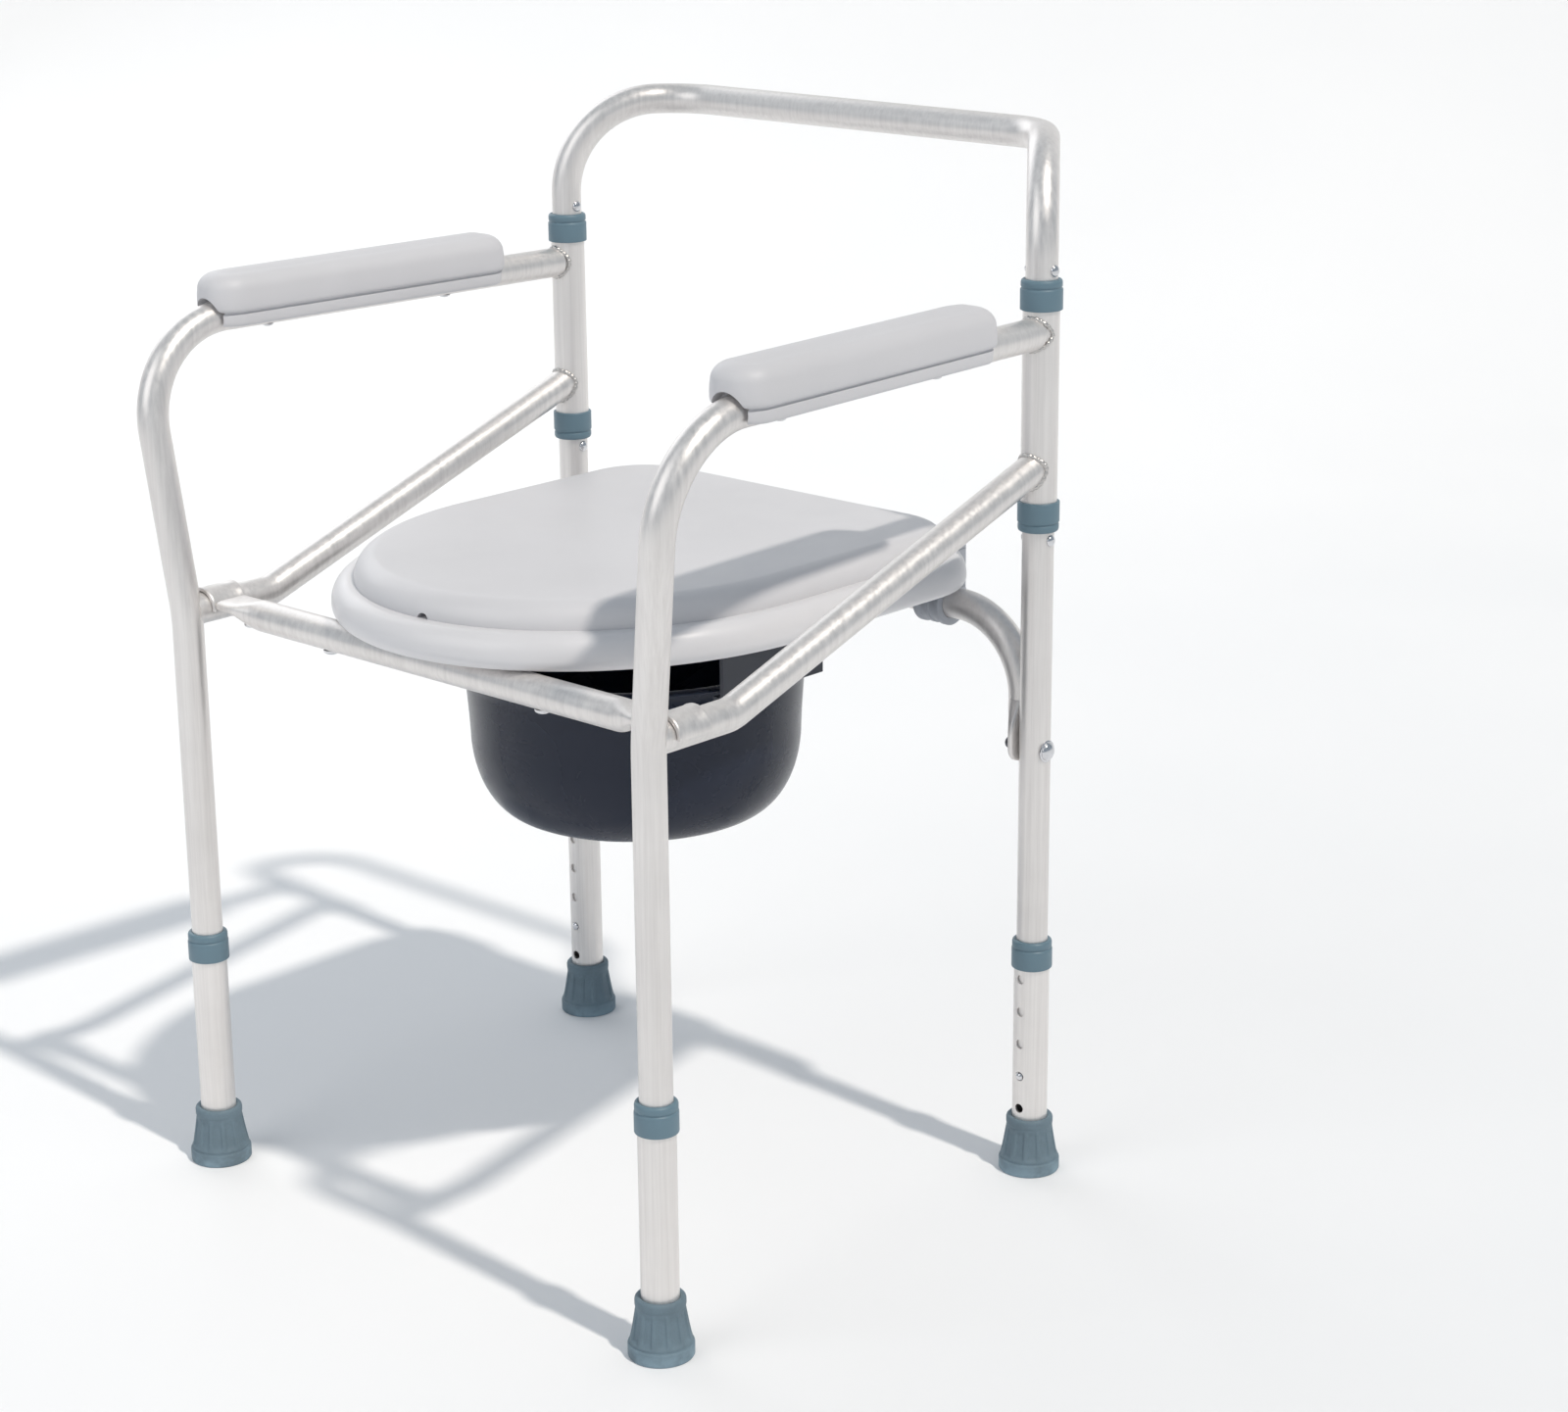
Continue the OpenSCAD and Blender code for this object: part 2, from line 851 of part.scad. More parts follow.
placed() back_hoop();
placed() rear_crossbar();
placed() crossbar_bolts();
placed() crossbar_nuts();
placed() stop_rivets();
placed() sleeve();  // left_sleeve
placed() upper_collar();  // left_upper_collar
placed() lower_collar();  // left_lower_collar
placed() leg_arm_tube();  // left_leg_arm_tube
placed() brace();  // left_brace
placed() arm_pad();  // left_arm_pad
placed() pad_screws();  // left_pad_screws
placed() right() sleeve();  // right_sleeve
placed() right() upper_collar();  // right_upper_collar
placed() right() lower_collar();  // right_lower_collar
placed() right() leg_arm_tube();  // right_leg_arm_tube
placed() right() brace();  // right_brace
placed() right() arm_pad();  // right_arm_pad
placed() right() pad_screws();  // right_pad_screws
placed() front_bar();
placed() front_bar_rivets();
placed() seat();
placed() hinge_brackets();
placed() bracket_screws();
placed() lid_hinge_pins();
placed() pail_rails();
placed() rail_screws();
placed() lid();
placed() lid_buffers();
placed() pail();
placed() at_leg(false, 1) extension();  // rear_left_extension
placed() at_leg(false, 1) leg_collar();  // rear_left_collar
placed() at_leg(false, 1) foot();  // rear_left_foot
placed() at_leg(false, 1) button();  // rear_left_button
placed() at_leg(false, -1) extension();  // rear_right_extension
placed() at_leg(false, -1) leg_collar();  // rear_right_collar
placed() at_leg(false, -1) foot();  // rear_right_foot
placed() at_leg(false, -1) button();  // rear_right_button
placed() at_leg(true, 1) extension();  // front_left_extension
placed() at_leg(true, 1) leg_collar();  // front_left_collar
placed() at_leg(true, 1) foot();  // front_left_foot
placed() at_leg(true, 1) button();  // front_left_button
placed() at_leg(true, -1) extension();  // front_right_extension
placed() at_leg(true, -1) leg_collar();  // front_right_collar
placed() at_leg(true, -1) foot();  // front_right_foot
placed() at_leg(true, -1) button();  // front_right_button
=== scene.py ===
"""The looks of a folding commode chair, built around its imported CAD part. Metres, +Z up."""

import json
import math

import bmesh
import bpy
from mathutils import Matrix, Vector


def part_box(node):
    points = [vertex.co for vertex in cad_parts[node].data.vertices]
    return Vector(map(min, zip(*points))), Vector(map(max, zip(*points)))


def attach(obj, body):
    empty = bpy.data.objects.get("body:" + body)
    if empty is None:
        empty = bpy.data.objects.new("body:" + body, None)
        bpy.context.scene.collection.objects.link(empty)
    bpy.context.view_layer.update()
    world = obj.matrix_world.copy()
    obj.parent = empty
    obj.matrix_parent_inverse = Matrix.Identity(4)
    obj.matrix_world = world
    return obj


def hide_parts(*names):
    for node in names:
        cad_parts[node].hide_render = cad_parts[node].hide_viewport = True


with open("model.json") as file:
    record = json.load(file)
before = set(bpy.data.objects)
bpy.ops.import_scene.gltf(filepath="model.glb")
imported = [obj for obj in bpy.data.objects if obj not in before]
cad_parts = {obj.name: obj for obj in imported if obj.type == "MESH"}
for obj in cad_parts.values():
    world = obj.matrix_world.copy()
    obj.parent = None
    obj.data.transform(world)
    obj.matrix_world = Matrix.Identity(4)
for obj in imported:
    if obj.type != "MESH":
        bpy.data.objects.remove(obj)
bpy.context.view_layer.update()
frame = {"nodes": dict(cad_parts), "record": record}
scene = bpy.context.scene

MM = 0.001
TAU = 2 * math.pi


def v(x, y, z):
    """A point given in millimetres."""
    return Vector((x, y, z)) * MM


# Sizes are worked out in chair coordinates, whose origin is midway between the legs. The frame's
# origin is the middle of the whole box, so each finished mesh moves back by CHAIR_ORIGIN.
rear_leg, front_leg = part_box("rear_left_extension"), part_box("front_left_extension")
CHAIR_ORIGIN = Vector((0, (rear_leg[0].y + rear_leg[1].y + front_leg[0].y + front_leg[1].y) / 4, 0))


def box(node):
    """A node's box in chair coordinates."""
    lo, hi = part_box(node)
    return lo - CHAIR_ORIGIN, hi - CHAIR_ORIGIN


def centre(node):
    lo, hi = box(node)
    return (lo + hi) / 2


# ---------------------------------------------------------------- sizes from the frame
sleeve_mid = centre("left_sleeve")
REAR_X, REAR_Y = sleeve_mid.x / MM, sleeve_mid.y / MM
leg_mid = centre("front_left_extension")
FRONT_X, FRONT_Y = leg_mid.x / MM, leg_mid.y / MM
seat_lo, seat_hi = box("seat")
lid_lo, lid_hi = box("lid")
pail_lo, pail_hi = box("pail")
EXT_TOP = box("rear_left_extension")[1].z / MM
BOLT_Z = centre("crossbar_bolts").z / MM

# sizes in millimetres that no box gives
TUBE_R = 11.1          # frame tube
OUTER_R = 12.7         # sleeves and the outer tubes of the legs
TUBE_END_Z = 62.0      # lower end of the inner leg tubes
ARM_Z = 617.0          # axis of the arm tube
STUB_Z = 418.0         # axis of the side frame's stub and of the front bar
BRACE_Z = 526.0        # where the brace meets the sleeve
STOP_ZS = (473.0, 659.5)
HINGE_Y, HINGE_Z = 202.0, 410.0
LID_AXIS_Y, LID_AXIS_Z = 211.0, 457.0
LID_PIN_X = 96.0
BRACKET_X = 133.0
PAD_SCREW_YS = (-90.0, 70.0)
HOLE_ZS = (50, 75, 100, 125, 150)
RAIL_Z = box("back_hoop")[1].z / MM - TUBE_R
RAIL_Y = box("back_hoop")[1].y / MM - TUBE_R

SIDES = (("left", 1), ("right", -1))
X_AXIS, UP, DOWN = Vector((1, 0, 0)), Vector((0, 0, 1)), Vector((0, 0, -1))


# ---------------------------------------------------------------- materials
class Mat:
    """A node material: a Principled shader plus short calls that wire procedural detail into it."""

    def __init__(self, name):
        self.m = bpy.data.materials.new(name)
        self.m.use_nodes = True
        self.t = self.m.node_tree
        self.bsdf = self.t.nodes["Principled BSDF"]
        self.coord = self.t.nodes.new("ShaderNodeTexCoord")

    def plug(self, socket, value):
        """Links a socket to a socket, or sets it to a constant."""
        if isinstance(value, bpy.types.NodeSocket):
            self.t.links.new(value, socket)
        elif isinstance(value, tuple) and len(value) == 3:
            socket.default_value = (*value, 1)
        else:
            socket.default_value = value

    def set(self, **values):
        """Sets the shader's inputs by name, with _ for a space."""
        for key, value in values.items():
            self.plug(self.bsdf.inputs[key.replace("_", " ")], value)

    def stretched(self, x, y, z):
        """Object coordinates scaled along each axis, for a texture drawn out one way."""
        n = self.t.nodes.new("ShaderNodeMapping")
        self.t.links.new(self.coord.outputs["Object"], n.inputs["Vector"])
        n.inputs["Scale"].default_value = (x, y, z)
        return n.outputs["Vector"]

    def noise(self, scale, detail=3.0, rough=0.55, vector=None, distortion=0.0):
        n = self.t.nodes.new("ShaderNodeTexNoise")
        self.t.links.new(vector or self.coord.outputs["Object"], n.inputs["Vector"])
        n.inputs["Scale"].default_value = scale
        n.inputs["Detail"].default_value = detail
        n.inputs["Roughness"].default_value = rough
        n.inputs["Distortion"].default_value = distortion
        return n.outputs["Fac"]

    def ramp(self, fac, stops):
        n = self.t.nodes.new("ShaderNodeValToRGB")
        self.t.links.new(fac, n.inputs["Fac"])
        e = n.color_ramp.elements
        while len(e) < len(stops):
            e.new(0.5)
        for item, (pos, colour) in zip(e, stops):
            item.position = pos
            item.color = (*colour, 1)
        return n.outputs["Color"]

    def map(self, fac, a, b, lo=0.0, hi=1.0):
        """Takes fac from lo..hi to a..b, clamped."""
        n = self.t.nodes.new("ShaderNodeMapRange")
        self.t.links.new(fac, n.inputs["Value"])
        n.inputs["From Min"].default_value = lo
        n.inputs["From Max"].default_value = hi
        n.inputs["To Min"].default_value = a
        n.inputs["To Max"].default_value = b
        return n.outputs["Result"]

    def mix(self, fac, a, b, mode="MIX"):
        n = self.t.nodes.new("ShaderNodeMix")
        n.data_type = "RGBA"
        n.blend_type = mode
        self.plug(n.inputs["Factor"], fac)
        self.plug(n.inputs[6], a)
        self.plug(n.inputs[7], b)
        return n.outputs[2]

    def math(self, op, a, b):
        n = self.t.nodes.new("ShaderNodeMath")
        n.operation = op
        self.plug(n.inputs[0], a)
        self.plug(n.inputs[1], b)
        return n.outputs[0]

    def bump(self, height, strength, distance=0.0005, below=None):
        n = self.t.nodes.new("ShaderNodeBump")
        n.inputs["Strength"].default_value = strength
        n.inputs["Distance"].default_value = distance
        self.t.links.new(height, n.inputs["Height"])
        if below is not None:
            self.t.links.new(below, n.inputs["Normal"])
        return n.outputs["Normal"]


def tint(rgb, k):
    """A colour made darker or lighter by k, kept within 1."""
    return tuple(min(1.0, c * k) for c in rgb)


def metal_tube(name, rgb, grain, rough=(0.31, 0.46), metallic=0.68):
    """Anodised, lightly drawn aluminium: long draw lines whose dark and light bands also stand in for painted
    reflection streaks along the tube, soft cloudiness, a few fine scuffs.
    """
    m = Mat(name)
    cloud = m.noise(9, 4, 0.6)
    lines = m.noise(1.0, 3, 0.7, m.stretched(*grain))
    scuff = m.noise(140, 5, 0.75, distortion=1.2)
    base = m.ramp(cloud, [(0.25, tint(rgb, 0.93)), (0.55, rgb), (0.8, tint(rgb, 1.06))])
    # painted reflection: the draw lines darken the colour in long bands, partly real draw lines and partly
    # standing in for the reflected light and dark streaks along the tubes
    draw_lines_and_painted_reflection = m.ramp(lines, [(0.32, (0.80, 0.79, 0.79)), (0.62, (1, 1, 1))])
    base = m.mix(0.55, base, draw_lines_and_painted_reflection, "MULTIPLY")
    dirt = m.ramp(scuff, [(0.62, (1, 1, 1)), (0.84, (0.86, 0.85, 0.84))])
    base = m.mix(0.22, base, dirt, "MULTIPLY")
    fine = m.map(lines, rough[0], rough[1], 0.3, 0.7)
    fine = m.math("ADD", fine, m.map(scuff, 0.0, 0.10, 0.55, 0.8))
    low = m.bump(cloud, 0.05, 0.001)
    m.set(Base_Color=base, Roughness=fine, Metallic=metallic, Normal=m.bump(lines, 0.10, 0.00015, low))
    return m.m


def moulded(name, rgb, rough=(0.42, 0.55), grain=900, depth=0.18, coat=0.0, scratch=0.25, spec=0.5):
    """Moulded plastic: spark-eroded grain, slow colour drift, dull rubbed patches and hairline scratches."""
    m = Mat(name)
    drift = m.noise(5, 3, 0.55)
    patch = m.noise(22, 4, 0.65, distortion=0.6)
    grains = m.noise(grain, 2, 0.5)
    hair = m.noise(1.0, 4, 0.8, m.stretched(60, 900, 300), 0.4)
    base = m.ramp(drift, [(0.3, tint(rgb, 0.955)), (0.5, rgb), (0.72, tint(rgb, 1.03))])
    base = m.mix(0.5, base, m.ramp(patch, [(0.35, (0.965, 0.965, 0.96)), (0.7, (1, 1, 1))]), "MULTIPLY")
    base = m.mix(scratch, base, m.ramp(hair, [(0.20, (0.88, 0.88, 0.89)), (0.28, (1, 1, 1))]), "MULTIPLY")
    r = m.map(patch, rough[0], rough[1], 0.3, 0.72)
    r = m.math("ADD", r, m.map(hair, 0.16 * scratch, 0.0, 0.2, 0.3))
    slow = m.bump(drift, 0.12, 0.002)
    m.set(Base_Color=base, Roughness=r, Normal=m.bump(grains, depth, 0.00012, slow),
          Coat_Weight=coat, Coat_Roughness=0.12, Specular_IOR_Level=spec)
    return m.m


def rubber(name, rgb):
    """Hard-wearing rubber: matt, speckled, dusty in places and scuffed paler low down."""
    m = Mat(name)
    drift = m.noise(40, 4, 0.6)
    speck = m.noise(650, 3, 0.6)
    base = m.ramp(drift, [(0.3, tint(rgb, 0.86)), (0.52, rgb), (0.75, tint(rgb, 1.16))])
    base = m.mix(0.4, base, m.ramp(speck, [(0.35, (0.86, 0.86, 0.86)), (0.65, (1, 1, 1))]), "MULTIPLY")
    height = m.t.nodes.new("ShaderNodeSeparateXYZ")
    m.t.links.new(m.coord.outputs["Object"], height.inputs["Vector"])
    low = m.map(height.outputs["Z"], 1.0, 0.0, 0.0, 0.012)
    worn = m.math("MULTIPLY", low, m.map(drift, 0.0, 1.0, 0.42, 0.6))
    base = m.mix(worn, base, tint(rgb, 1.7))
    m.set(Base_Color=base, Roughness=m.map(drift, 0.55, 0.78), Normal=m.bump(speck, 0.22, 0.0002))
    return m.m


def steel(name, rgb, rough=(0.12, 0.28)):
    """Bright plated steel for rivets, bolts and buttons, with handling marks."""
    m = Mat(name)
    cloud = m.noise(180, 3, 0.6)
    fine = m.noise(1500, 2, 0.6)
    base = m.ramp(cloud, [(0.3, tint(rgb, 0.86)), (0.6, rgb)])
    m.set(Base_Color=base, Roughness=m.map(cloud, rough[0], rough[1], 0.3, 0.7), Metallic=1.0,
          Normal=m.bump(fine, 0.06, 0.0001))
    return m.m


def record_colour(slot, k=(1.0, 1.0, 1.0)):
    """The record's colour for a slot, with each channel times k."""
    row = next(r for r in frame["record"]["materials"] if r["slot"] == slot)
    return tuple(min(1.0, c * f) for c, f in zip(row["base_color"][:3], k))


# what takes the record's colours to the look of clean metal and of clean plastic
WARM = (1.035, 1.0, 0.95)
CLEAN = (1.03, 1.0, 0.95)

MATERIALS = {
    "frame_tube": metal_tube("drawn_tube", record_colour("frame_tube", WARM), (300, 300, 8)),
    "leg_tube": metal_tube("outer_tube", record_colour("leg_tube", WARM), (340, 340, 5), (0.34, 0.48)),
    "bright_steel": steel("plated_steel", record_colour("bright_steel")),
    "dark_nut": steel("dark_nut", record_colour("dark_nut"), (0.3, 0.45)),
    "collar_plastic": moulded("collar_plastic", record_colour("collar_plastic"), (0.38, 0.52),
                              grain=1100, depth=0.2, scratch=0.4),
    "foot_rubber": rubber("foot_rubber", record_colour("foot_rubber")),
    "pad_plastic": moulded("pad_skin", record_colour("pad_plastic", CLEAN), (0.44, 0.58),
                           grain=700, depth=0.3),
    "seat_plastic": moulded("seat_plastic", record_colour("seat_plastic", CLEAN), (0.30, 0.42),
                            grain=1000, depth=0.10, coat=0.12),
    "lid_plastic": moulded("lid_plastic", record_colour("lid_plastic", CLEAN), (0.34, 0.48),
                           grain=900, depth=0.16, coat=0.06),
    "bracket_plastic": moulded("bracket_plastic", record_colour("bracket_plastic"), (0.4, 0.55),
                               grain=800, depth=0.25),
    # painted shade: the rails' own dark colour is darkened further, to near black, for the shade they sit in
    # under the seat
    "rail_plastic": moulded("rail_plastic", record_colour("rail_plastic", (0.35, 0.35, 0.4)), (0.4, 0.55),
                            grain=800, depth=0.25),
    "buffer_rubber": rubber("buffer_rubber", record_colour("buffer_rubber")),
    "pail_plastic": moulded("pail_plastic", record_colour("pail_plastic", (0.5, 0.55, 0.62)), (0.22, 0.32),
                            grain=500, depth=0.03, scratch=0.05, spec=0.3),
}
WELD = steel("weld_bead", (0.62, 0.60, 0.58), (0.34, 0.5))


# ---------------------------------------------------------------- mesh helpers
def new_object(name, shape):
    """An object in the scene from (points in metres, faces)."""
    mesh = bpy.data.meshes.new(name)
    mesh.from_pydata([tuple(p) for p in shape[0]], [], shape[1])
    obj = bpy.data.objects.new(name, mesh)
    scene.collection.objects.link(obj)
    return obj


def mend(mesh, join=True, shift=None):
    """Joins doubled points, turns the faces outward and moves the mesh by shift."""
    bm = bmesh.new()
    bm.from_mesh(mesh)
    if join:
        bmesh.ops.remove_doubles(bm, verts=bm.verts, dist=1e-6)
    bmesh.ops.recalc_face_normals(bm, faces=bm.faces)
    if shift is not None:
        bmesh.ops.translate(bm, verts=bm.verts, vec=shift)
    bm.to_mesh(mesh)
    bm.free()


def piece(name, shape, slot, body, replaces=(), sharp=38, material=None):
    """Makes a finished piece in one go."""
    return dress(new_object(name, shape), slot, body, replaces, sharp, material)


def raw(name, shape):
    """A closed mesh to be bevelled or carved before it is dressed."""
    obj = new_object(name, shape)
    mend(obj.data)
    return obj


def dress(obj, slot, body, replaces=(), sharp=38, material=None):
    """Finishes a piece: moves it to the frame's origin, shades it and lets it ride on its body."""
    mend(obj.data, shift=CHAIR_ORIGIN)
    shade(obj, sharp)
    obj.data.materials.clear()
    obj.data.materials.append(material or MATERIALS[slot])
    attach(obj, body)
    if replaces:
        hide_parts(*replaces)
    return obj


def shade(obj, sharp):
    """Smooth shading, with edges sharper than so many degrees kept."""
    obj.data.shade_smooth()
    obj.data.set_sharp_from_angle(angle=math.radians(sharp))


def loft(rings, closed=False, caps=True):
    """Vertices and faces through rings of equal point count."""
    n = len(rings[0])
    verts = [p for ring in rings for p in ring]
    faces = []
    last = len(rings) if closed else len(rings) - 1
    for i in range(last):
        a, b = i * n, ((i + 1) % len(rings)) * n
        for k in range(n):
            faces.append((a + k, a + (k + 1) % n, b + (k + 1) % n, b + k))
    if caps and not closed:
        faces.append(tuple(range(n)))
        faces.append(tuple((len(rings) - 1) * n + k for k in range(n)))
    return verts, faces


def revolve(profile, origin, n=64, closed=True, axis=None, wave=None):
    """A lathed form: profile is (radius, height) in millimetres about axis through origin."""
    turn = Matrix.Identity(3) if axis is None else Vector((0, 0, 1)).rotation_difference(axis).to_matrix()
    rings = []
    for r, z in profile:
        ring = []
        for k in range(n):
            a = TAU * k / n
            rr = r if wave is None else r + wave(a, r, z)
            ring.append(origin + turn @ v(rr * math.cos(a), rr * math.sin(a), z))
        rings.append(ring)
    return loft(rings, closed=closed, caps=not closed)


def merge(*parts):
    """Several shapes as one."""
    verts, faces = [], []
    for pv, pf in parts:
        base = len(verts)
        verts += list(pv)
        faces += [tuple(i + base for i in f) for f in pf]
    return verts, faces


def rounded_path(points, radii, step=4.0):
    """Points in millimetres along straight runs joined by arcs of the given radii.

    No two points end up much over 30 mm apart.
    """
    pts = [Vector(p) for p in points]
    out = [pts[0]]
    for i in range(1, len(pts) - 1):
        u, w = (pts[i] - pts[i - 1]).normalized(), (pts[i + 1] - pts[i]).normalized()
        angle = u.angle(w)
        back = radii[i] * math.tan(angle / 2)
        start = pts[i] - u * back
        n = u.cross(w).normalized()
        hub = start + n.cross(u) * radii[i]
        seg = max(6, int(radii[i] * angle / step))
        for k in range(seg + 1):
            out.append(hub + Matrix.Rotation(angle * k / seg, 3, n) @ (start - hub))
    out.append(pts[-1])
    full = [out[0]]
    for p in out[1:]:
        gap = (p - full[-1]).length
        parts = max(1, round(gap / 30))
        for k in range(1, parts + 1):
            full.append(full[-1].lerp(p, 1 / (parts - k + 1)))
    return full


def sweep(path, section, n=48, up=None):
    """Rings along a path in millimetres; section(i) gives (half width, half height, squareness)."""
    rings = []
    tangents = []
    for i in range(len(path)):
        a, b = path[max(0, i - 1)], path[min(len(path) - 1, i + 1)]
        tangents.append((b - a).normalized())
    side = (up or Vector((0, 0, 1))).cross(tangents[0])
    if side.length < 1e-3:
        side = Vector((1, 0, 0)).cross(tangents[0])
    side.normalize()
    for i, t in enumerate(tangents):
        if i:
            side = tangents[i - 1].rotation_difference(t) @ side
            side = (side - t * side.dot(t)).normalized()
        other = t.cross(side)
        a, b, sq = section(i)
        ring = []
        for k in range(n):
            w = TAU * k / n
            c, s = math.cos(w), math.sin(w)
            p = 2 / sq
            x = math.copysign(abs(c) ** p, c) * a
            y = math.copysign(abs(s) ** p, s) * b
            ring.append((path[i] + side * x + other * y) * MM)
        rings.append(ring)
    return loft(rings)


def round_tube(path):
    return sweep(path, lambda i: (TUBE_R, TUBE_R, 2.0))


def block(lo, hi):
    """An eight-corner box in millimetres, to be bevelled."""
    verts = [v(x, y, z) for z in (lo[2], hi[2]) for y in (lo[1], hi[1]) for x in (lo[0], hi[0])]
    faces = [(0, 1, 3, 2), (4, 6, 7, 5), (0, 4, 5, 1), (2, 3, 7, 6), (0, 2, 6, 4), (1, 5, 7, 3)]
    return verts, faces


def bevelled(obj, width, segments=3, angle=32):
    """Rounds the edges by width millimetres."""
    m = obj.modifiers.new("edges", "BEVEL")
    m.width = width * MM
    m.segments = segments
    m.limit_method = "ANGLE"
    m.angle_limit = math.radians(angle)
    m.harden_normals = False
    return bake(obj)


def bake(obj):
    """Replaces the mesh by its evaluated one and removes the modifiers."""
    dg = bpy.context.evaluated_depsgraph_get()
    dg.update()
    made = bpy.data.meshes.new_from_object(obj.evaluated_get(dg))
    old = obj.data
    obj.modifiers.clear()
    obj.data = made
    bpy.data.meshes.remove(old)
    return obj


def carve(obj, *cutters):
    """Cuts closed shapes, given as (verts, faces), out of a mesh."""
    for shape in cutters:
        tool = new_object("cutter", shape)
        mend(tool.data, join=False)
        m = obj.modifiers.new("cut", "BOOLEAN")
        m.operation = "DIFFERENCE"
        m.solver = "EXACT"
        m.object = tool
        bake(obj)
        bpy.data.objects.remove(tool)
    return obj


def dome_profile(r, h, base=0.0, n=10):
    """A rivet head: a low ball cap with a short straight edge."""
    edge = h * 0.22
    out = [(0.001, base), (r - 0.2, base), (r, base + 0.2), (r, base + edge)]
    for k in range(1, n + 1):
        a = math.pi / 2 * k / n
        out.append((max(0.001, r * math.cos(a)), base + edge + (h - edge) * math.sin(a)))
    return out


def weld(name, main_at, main_dir, main_r, branch_at, branch_dir, branch_r, body, bead=1.7, seed=0):
    """A rippled fillet of weld where a branch tube meets a main tube. Millimetres."""
    main_dir, branch_dir = main_dir.normalized(), branch_dir.normalized()
    e1 = branch_dir.orthogonal().normalized()
    e2 = branch_dir.cross(e1)
    line = []
    n = 144
    for k in range(n):
        a = TAU * k / n
        p = branch_at + (e1 * math.cos(a) + e2 * math.sin(a)) * (branch_r + 0.1)
        w = p - main_at
        u = branch_dir - main_dir * branch_dir.dot(main_dir)
        q = w - main_dir * w.dot(main_dir)
        aa, bb, cc = u.dot(u), 2 * u.dot(q), q.dot(q) - (main_r + 0.1) ** 2
        disc = max(0.0, bb * bb - 4 * aa * cc)
        t = (-bb - math.sqrt(disc)) / (2 * aa)
        line.append(p + branch_dir * t)
    rings = []
    for k in range(n):
        t = (line[(k + 1) % n] - line[k - 1]).normalized()
        w = line[k] - main_at
        out = (w - main_dir * w.dot(main_dir)).normalized()
        side = t.cross(out).normalized()
        out = side.cross(t)
        ripple = 0.16 * math.sin(TAU * 24 * k / n + seed) + 0.12 * math.sin(TAU * 5 * k / n + 2 * seed)
        size = bead * (1 + ripple)
        ring = []
        for j in range(10):
            a = TAU * j / 10
            ring.append((line[k] + out * math.cos(a) * size + side * math.sin(a) * size) * MM)
        rings.append(ring)
    piece(name, loft(rings, closed=True), "frame_tube", body, sharp=180, material=WELD)


# ---------------------------------------------------------------- back frame
TOP_BEND, REAR_BEND, BACK_SET = 70, 50, 52    # the bends' radii and the corner runs' angle to the rail
hoop_run = TOP_BEND + REAR_BEND * math.tan(math.radians(BACK_SET / 2)) + 1
hoop_half = REAR_X - hoop_run * math.cos(math.radians(BACK_SET))
hoop_path = rounded_path(
    [(REAR_X, REAR_Y, TUBE_END_Z), (REAR_X, REAR_Y, RAIL_Z), (hoop_half, RAIL_Y, RAIL_Z),
     (-hoop_half, RAIL_Y, RAIL_Z), (-REAR_X, REAR_Y, RAIL_Z), (-REAR_X, REAR_Y, TUBE_END_Z)],
    [0, TOP_BEND, REAR_BEND, REAR_BEND, TOP_BEND, 0])
piece("back_rail_tube", round_tube(hoop_path), "frame_tube", "back_frame", ["back_hoop"])


def smoothstep(t):
    """0 below 0, 1 above 1 and an S between."""
    t = min(1.0, max(0.0, t))
    return t * t * (3 - 2 * t)


def crossbar_tube():
    """The rear crossbar: one tube with two bends, whose ends are pressed flat and rounded off."""
    half, r = 210.8, 58.0
    tab_x = REAR_X - TUBE_R - 2.6
    path = rounded_path([(half, HINGE_Y, HINGE_Z - r), (half, HINGE_Y, HINGE_Z),
                         (-half, HINGE_Y, HINGE_Z), (-half, HINGE_Y, HINGE_Z - r)], [0, r, r, 0], 3)
    tail = []
    for k in range(1, 19):
        z = (HINGE_Z - r) - k * (HINGE_Z - r - BOLT_Z + 12) / 18
        s = smoothstep((HINGE_Z - r - z) / 22)
        tail.append((Vector((half + (tab_x - half) * s, HINGE_Y + (REAR_Y - HINGE_Y) * s, z)), s))
    start = [Vector(p) for p, s in reversed(tail)]
    end = [Vector((-p.x, p.y, p.z)) for p, s in tail]
    flat = [s for p, s in reversed(tail)] + [0.0] * len(path) + [s for p, s in tail]
    drop = [max(0.0, BOLT_Z - p.z) for p in start + path + end]

    def section(i):
        s = flat[i]
        wide = TUBE_R + (12.0 - TUBE_R) * s
        if drop[i] > 0:
            wide = math.sqrt(max(0.4, 144.0 - drop[i] ** 2))
        return (wide, TUBE_R + (2.5 - TUBE_R) * s, 2.0 + 2.2 * s)

    return sweep(start + path + end, section, 56, up=X_AXIS)


piece("rear_crossbar_tube", crossbar_tube(), "frame_tube", "back_frame", ["rear_crossbar"])

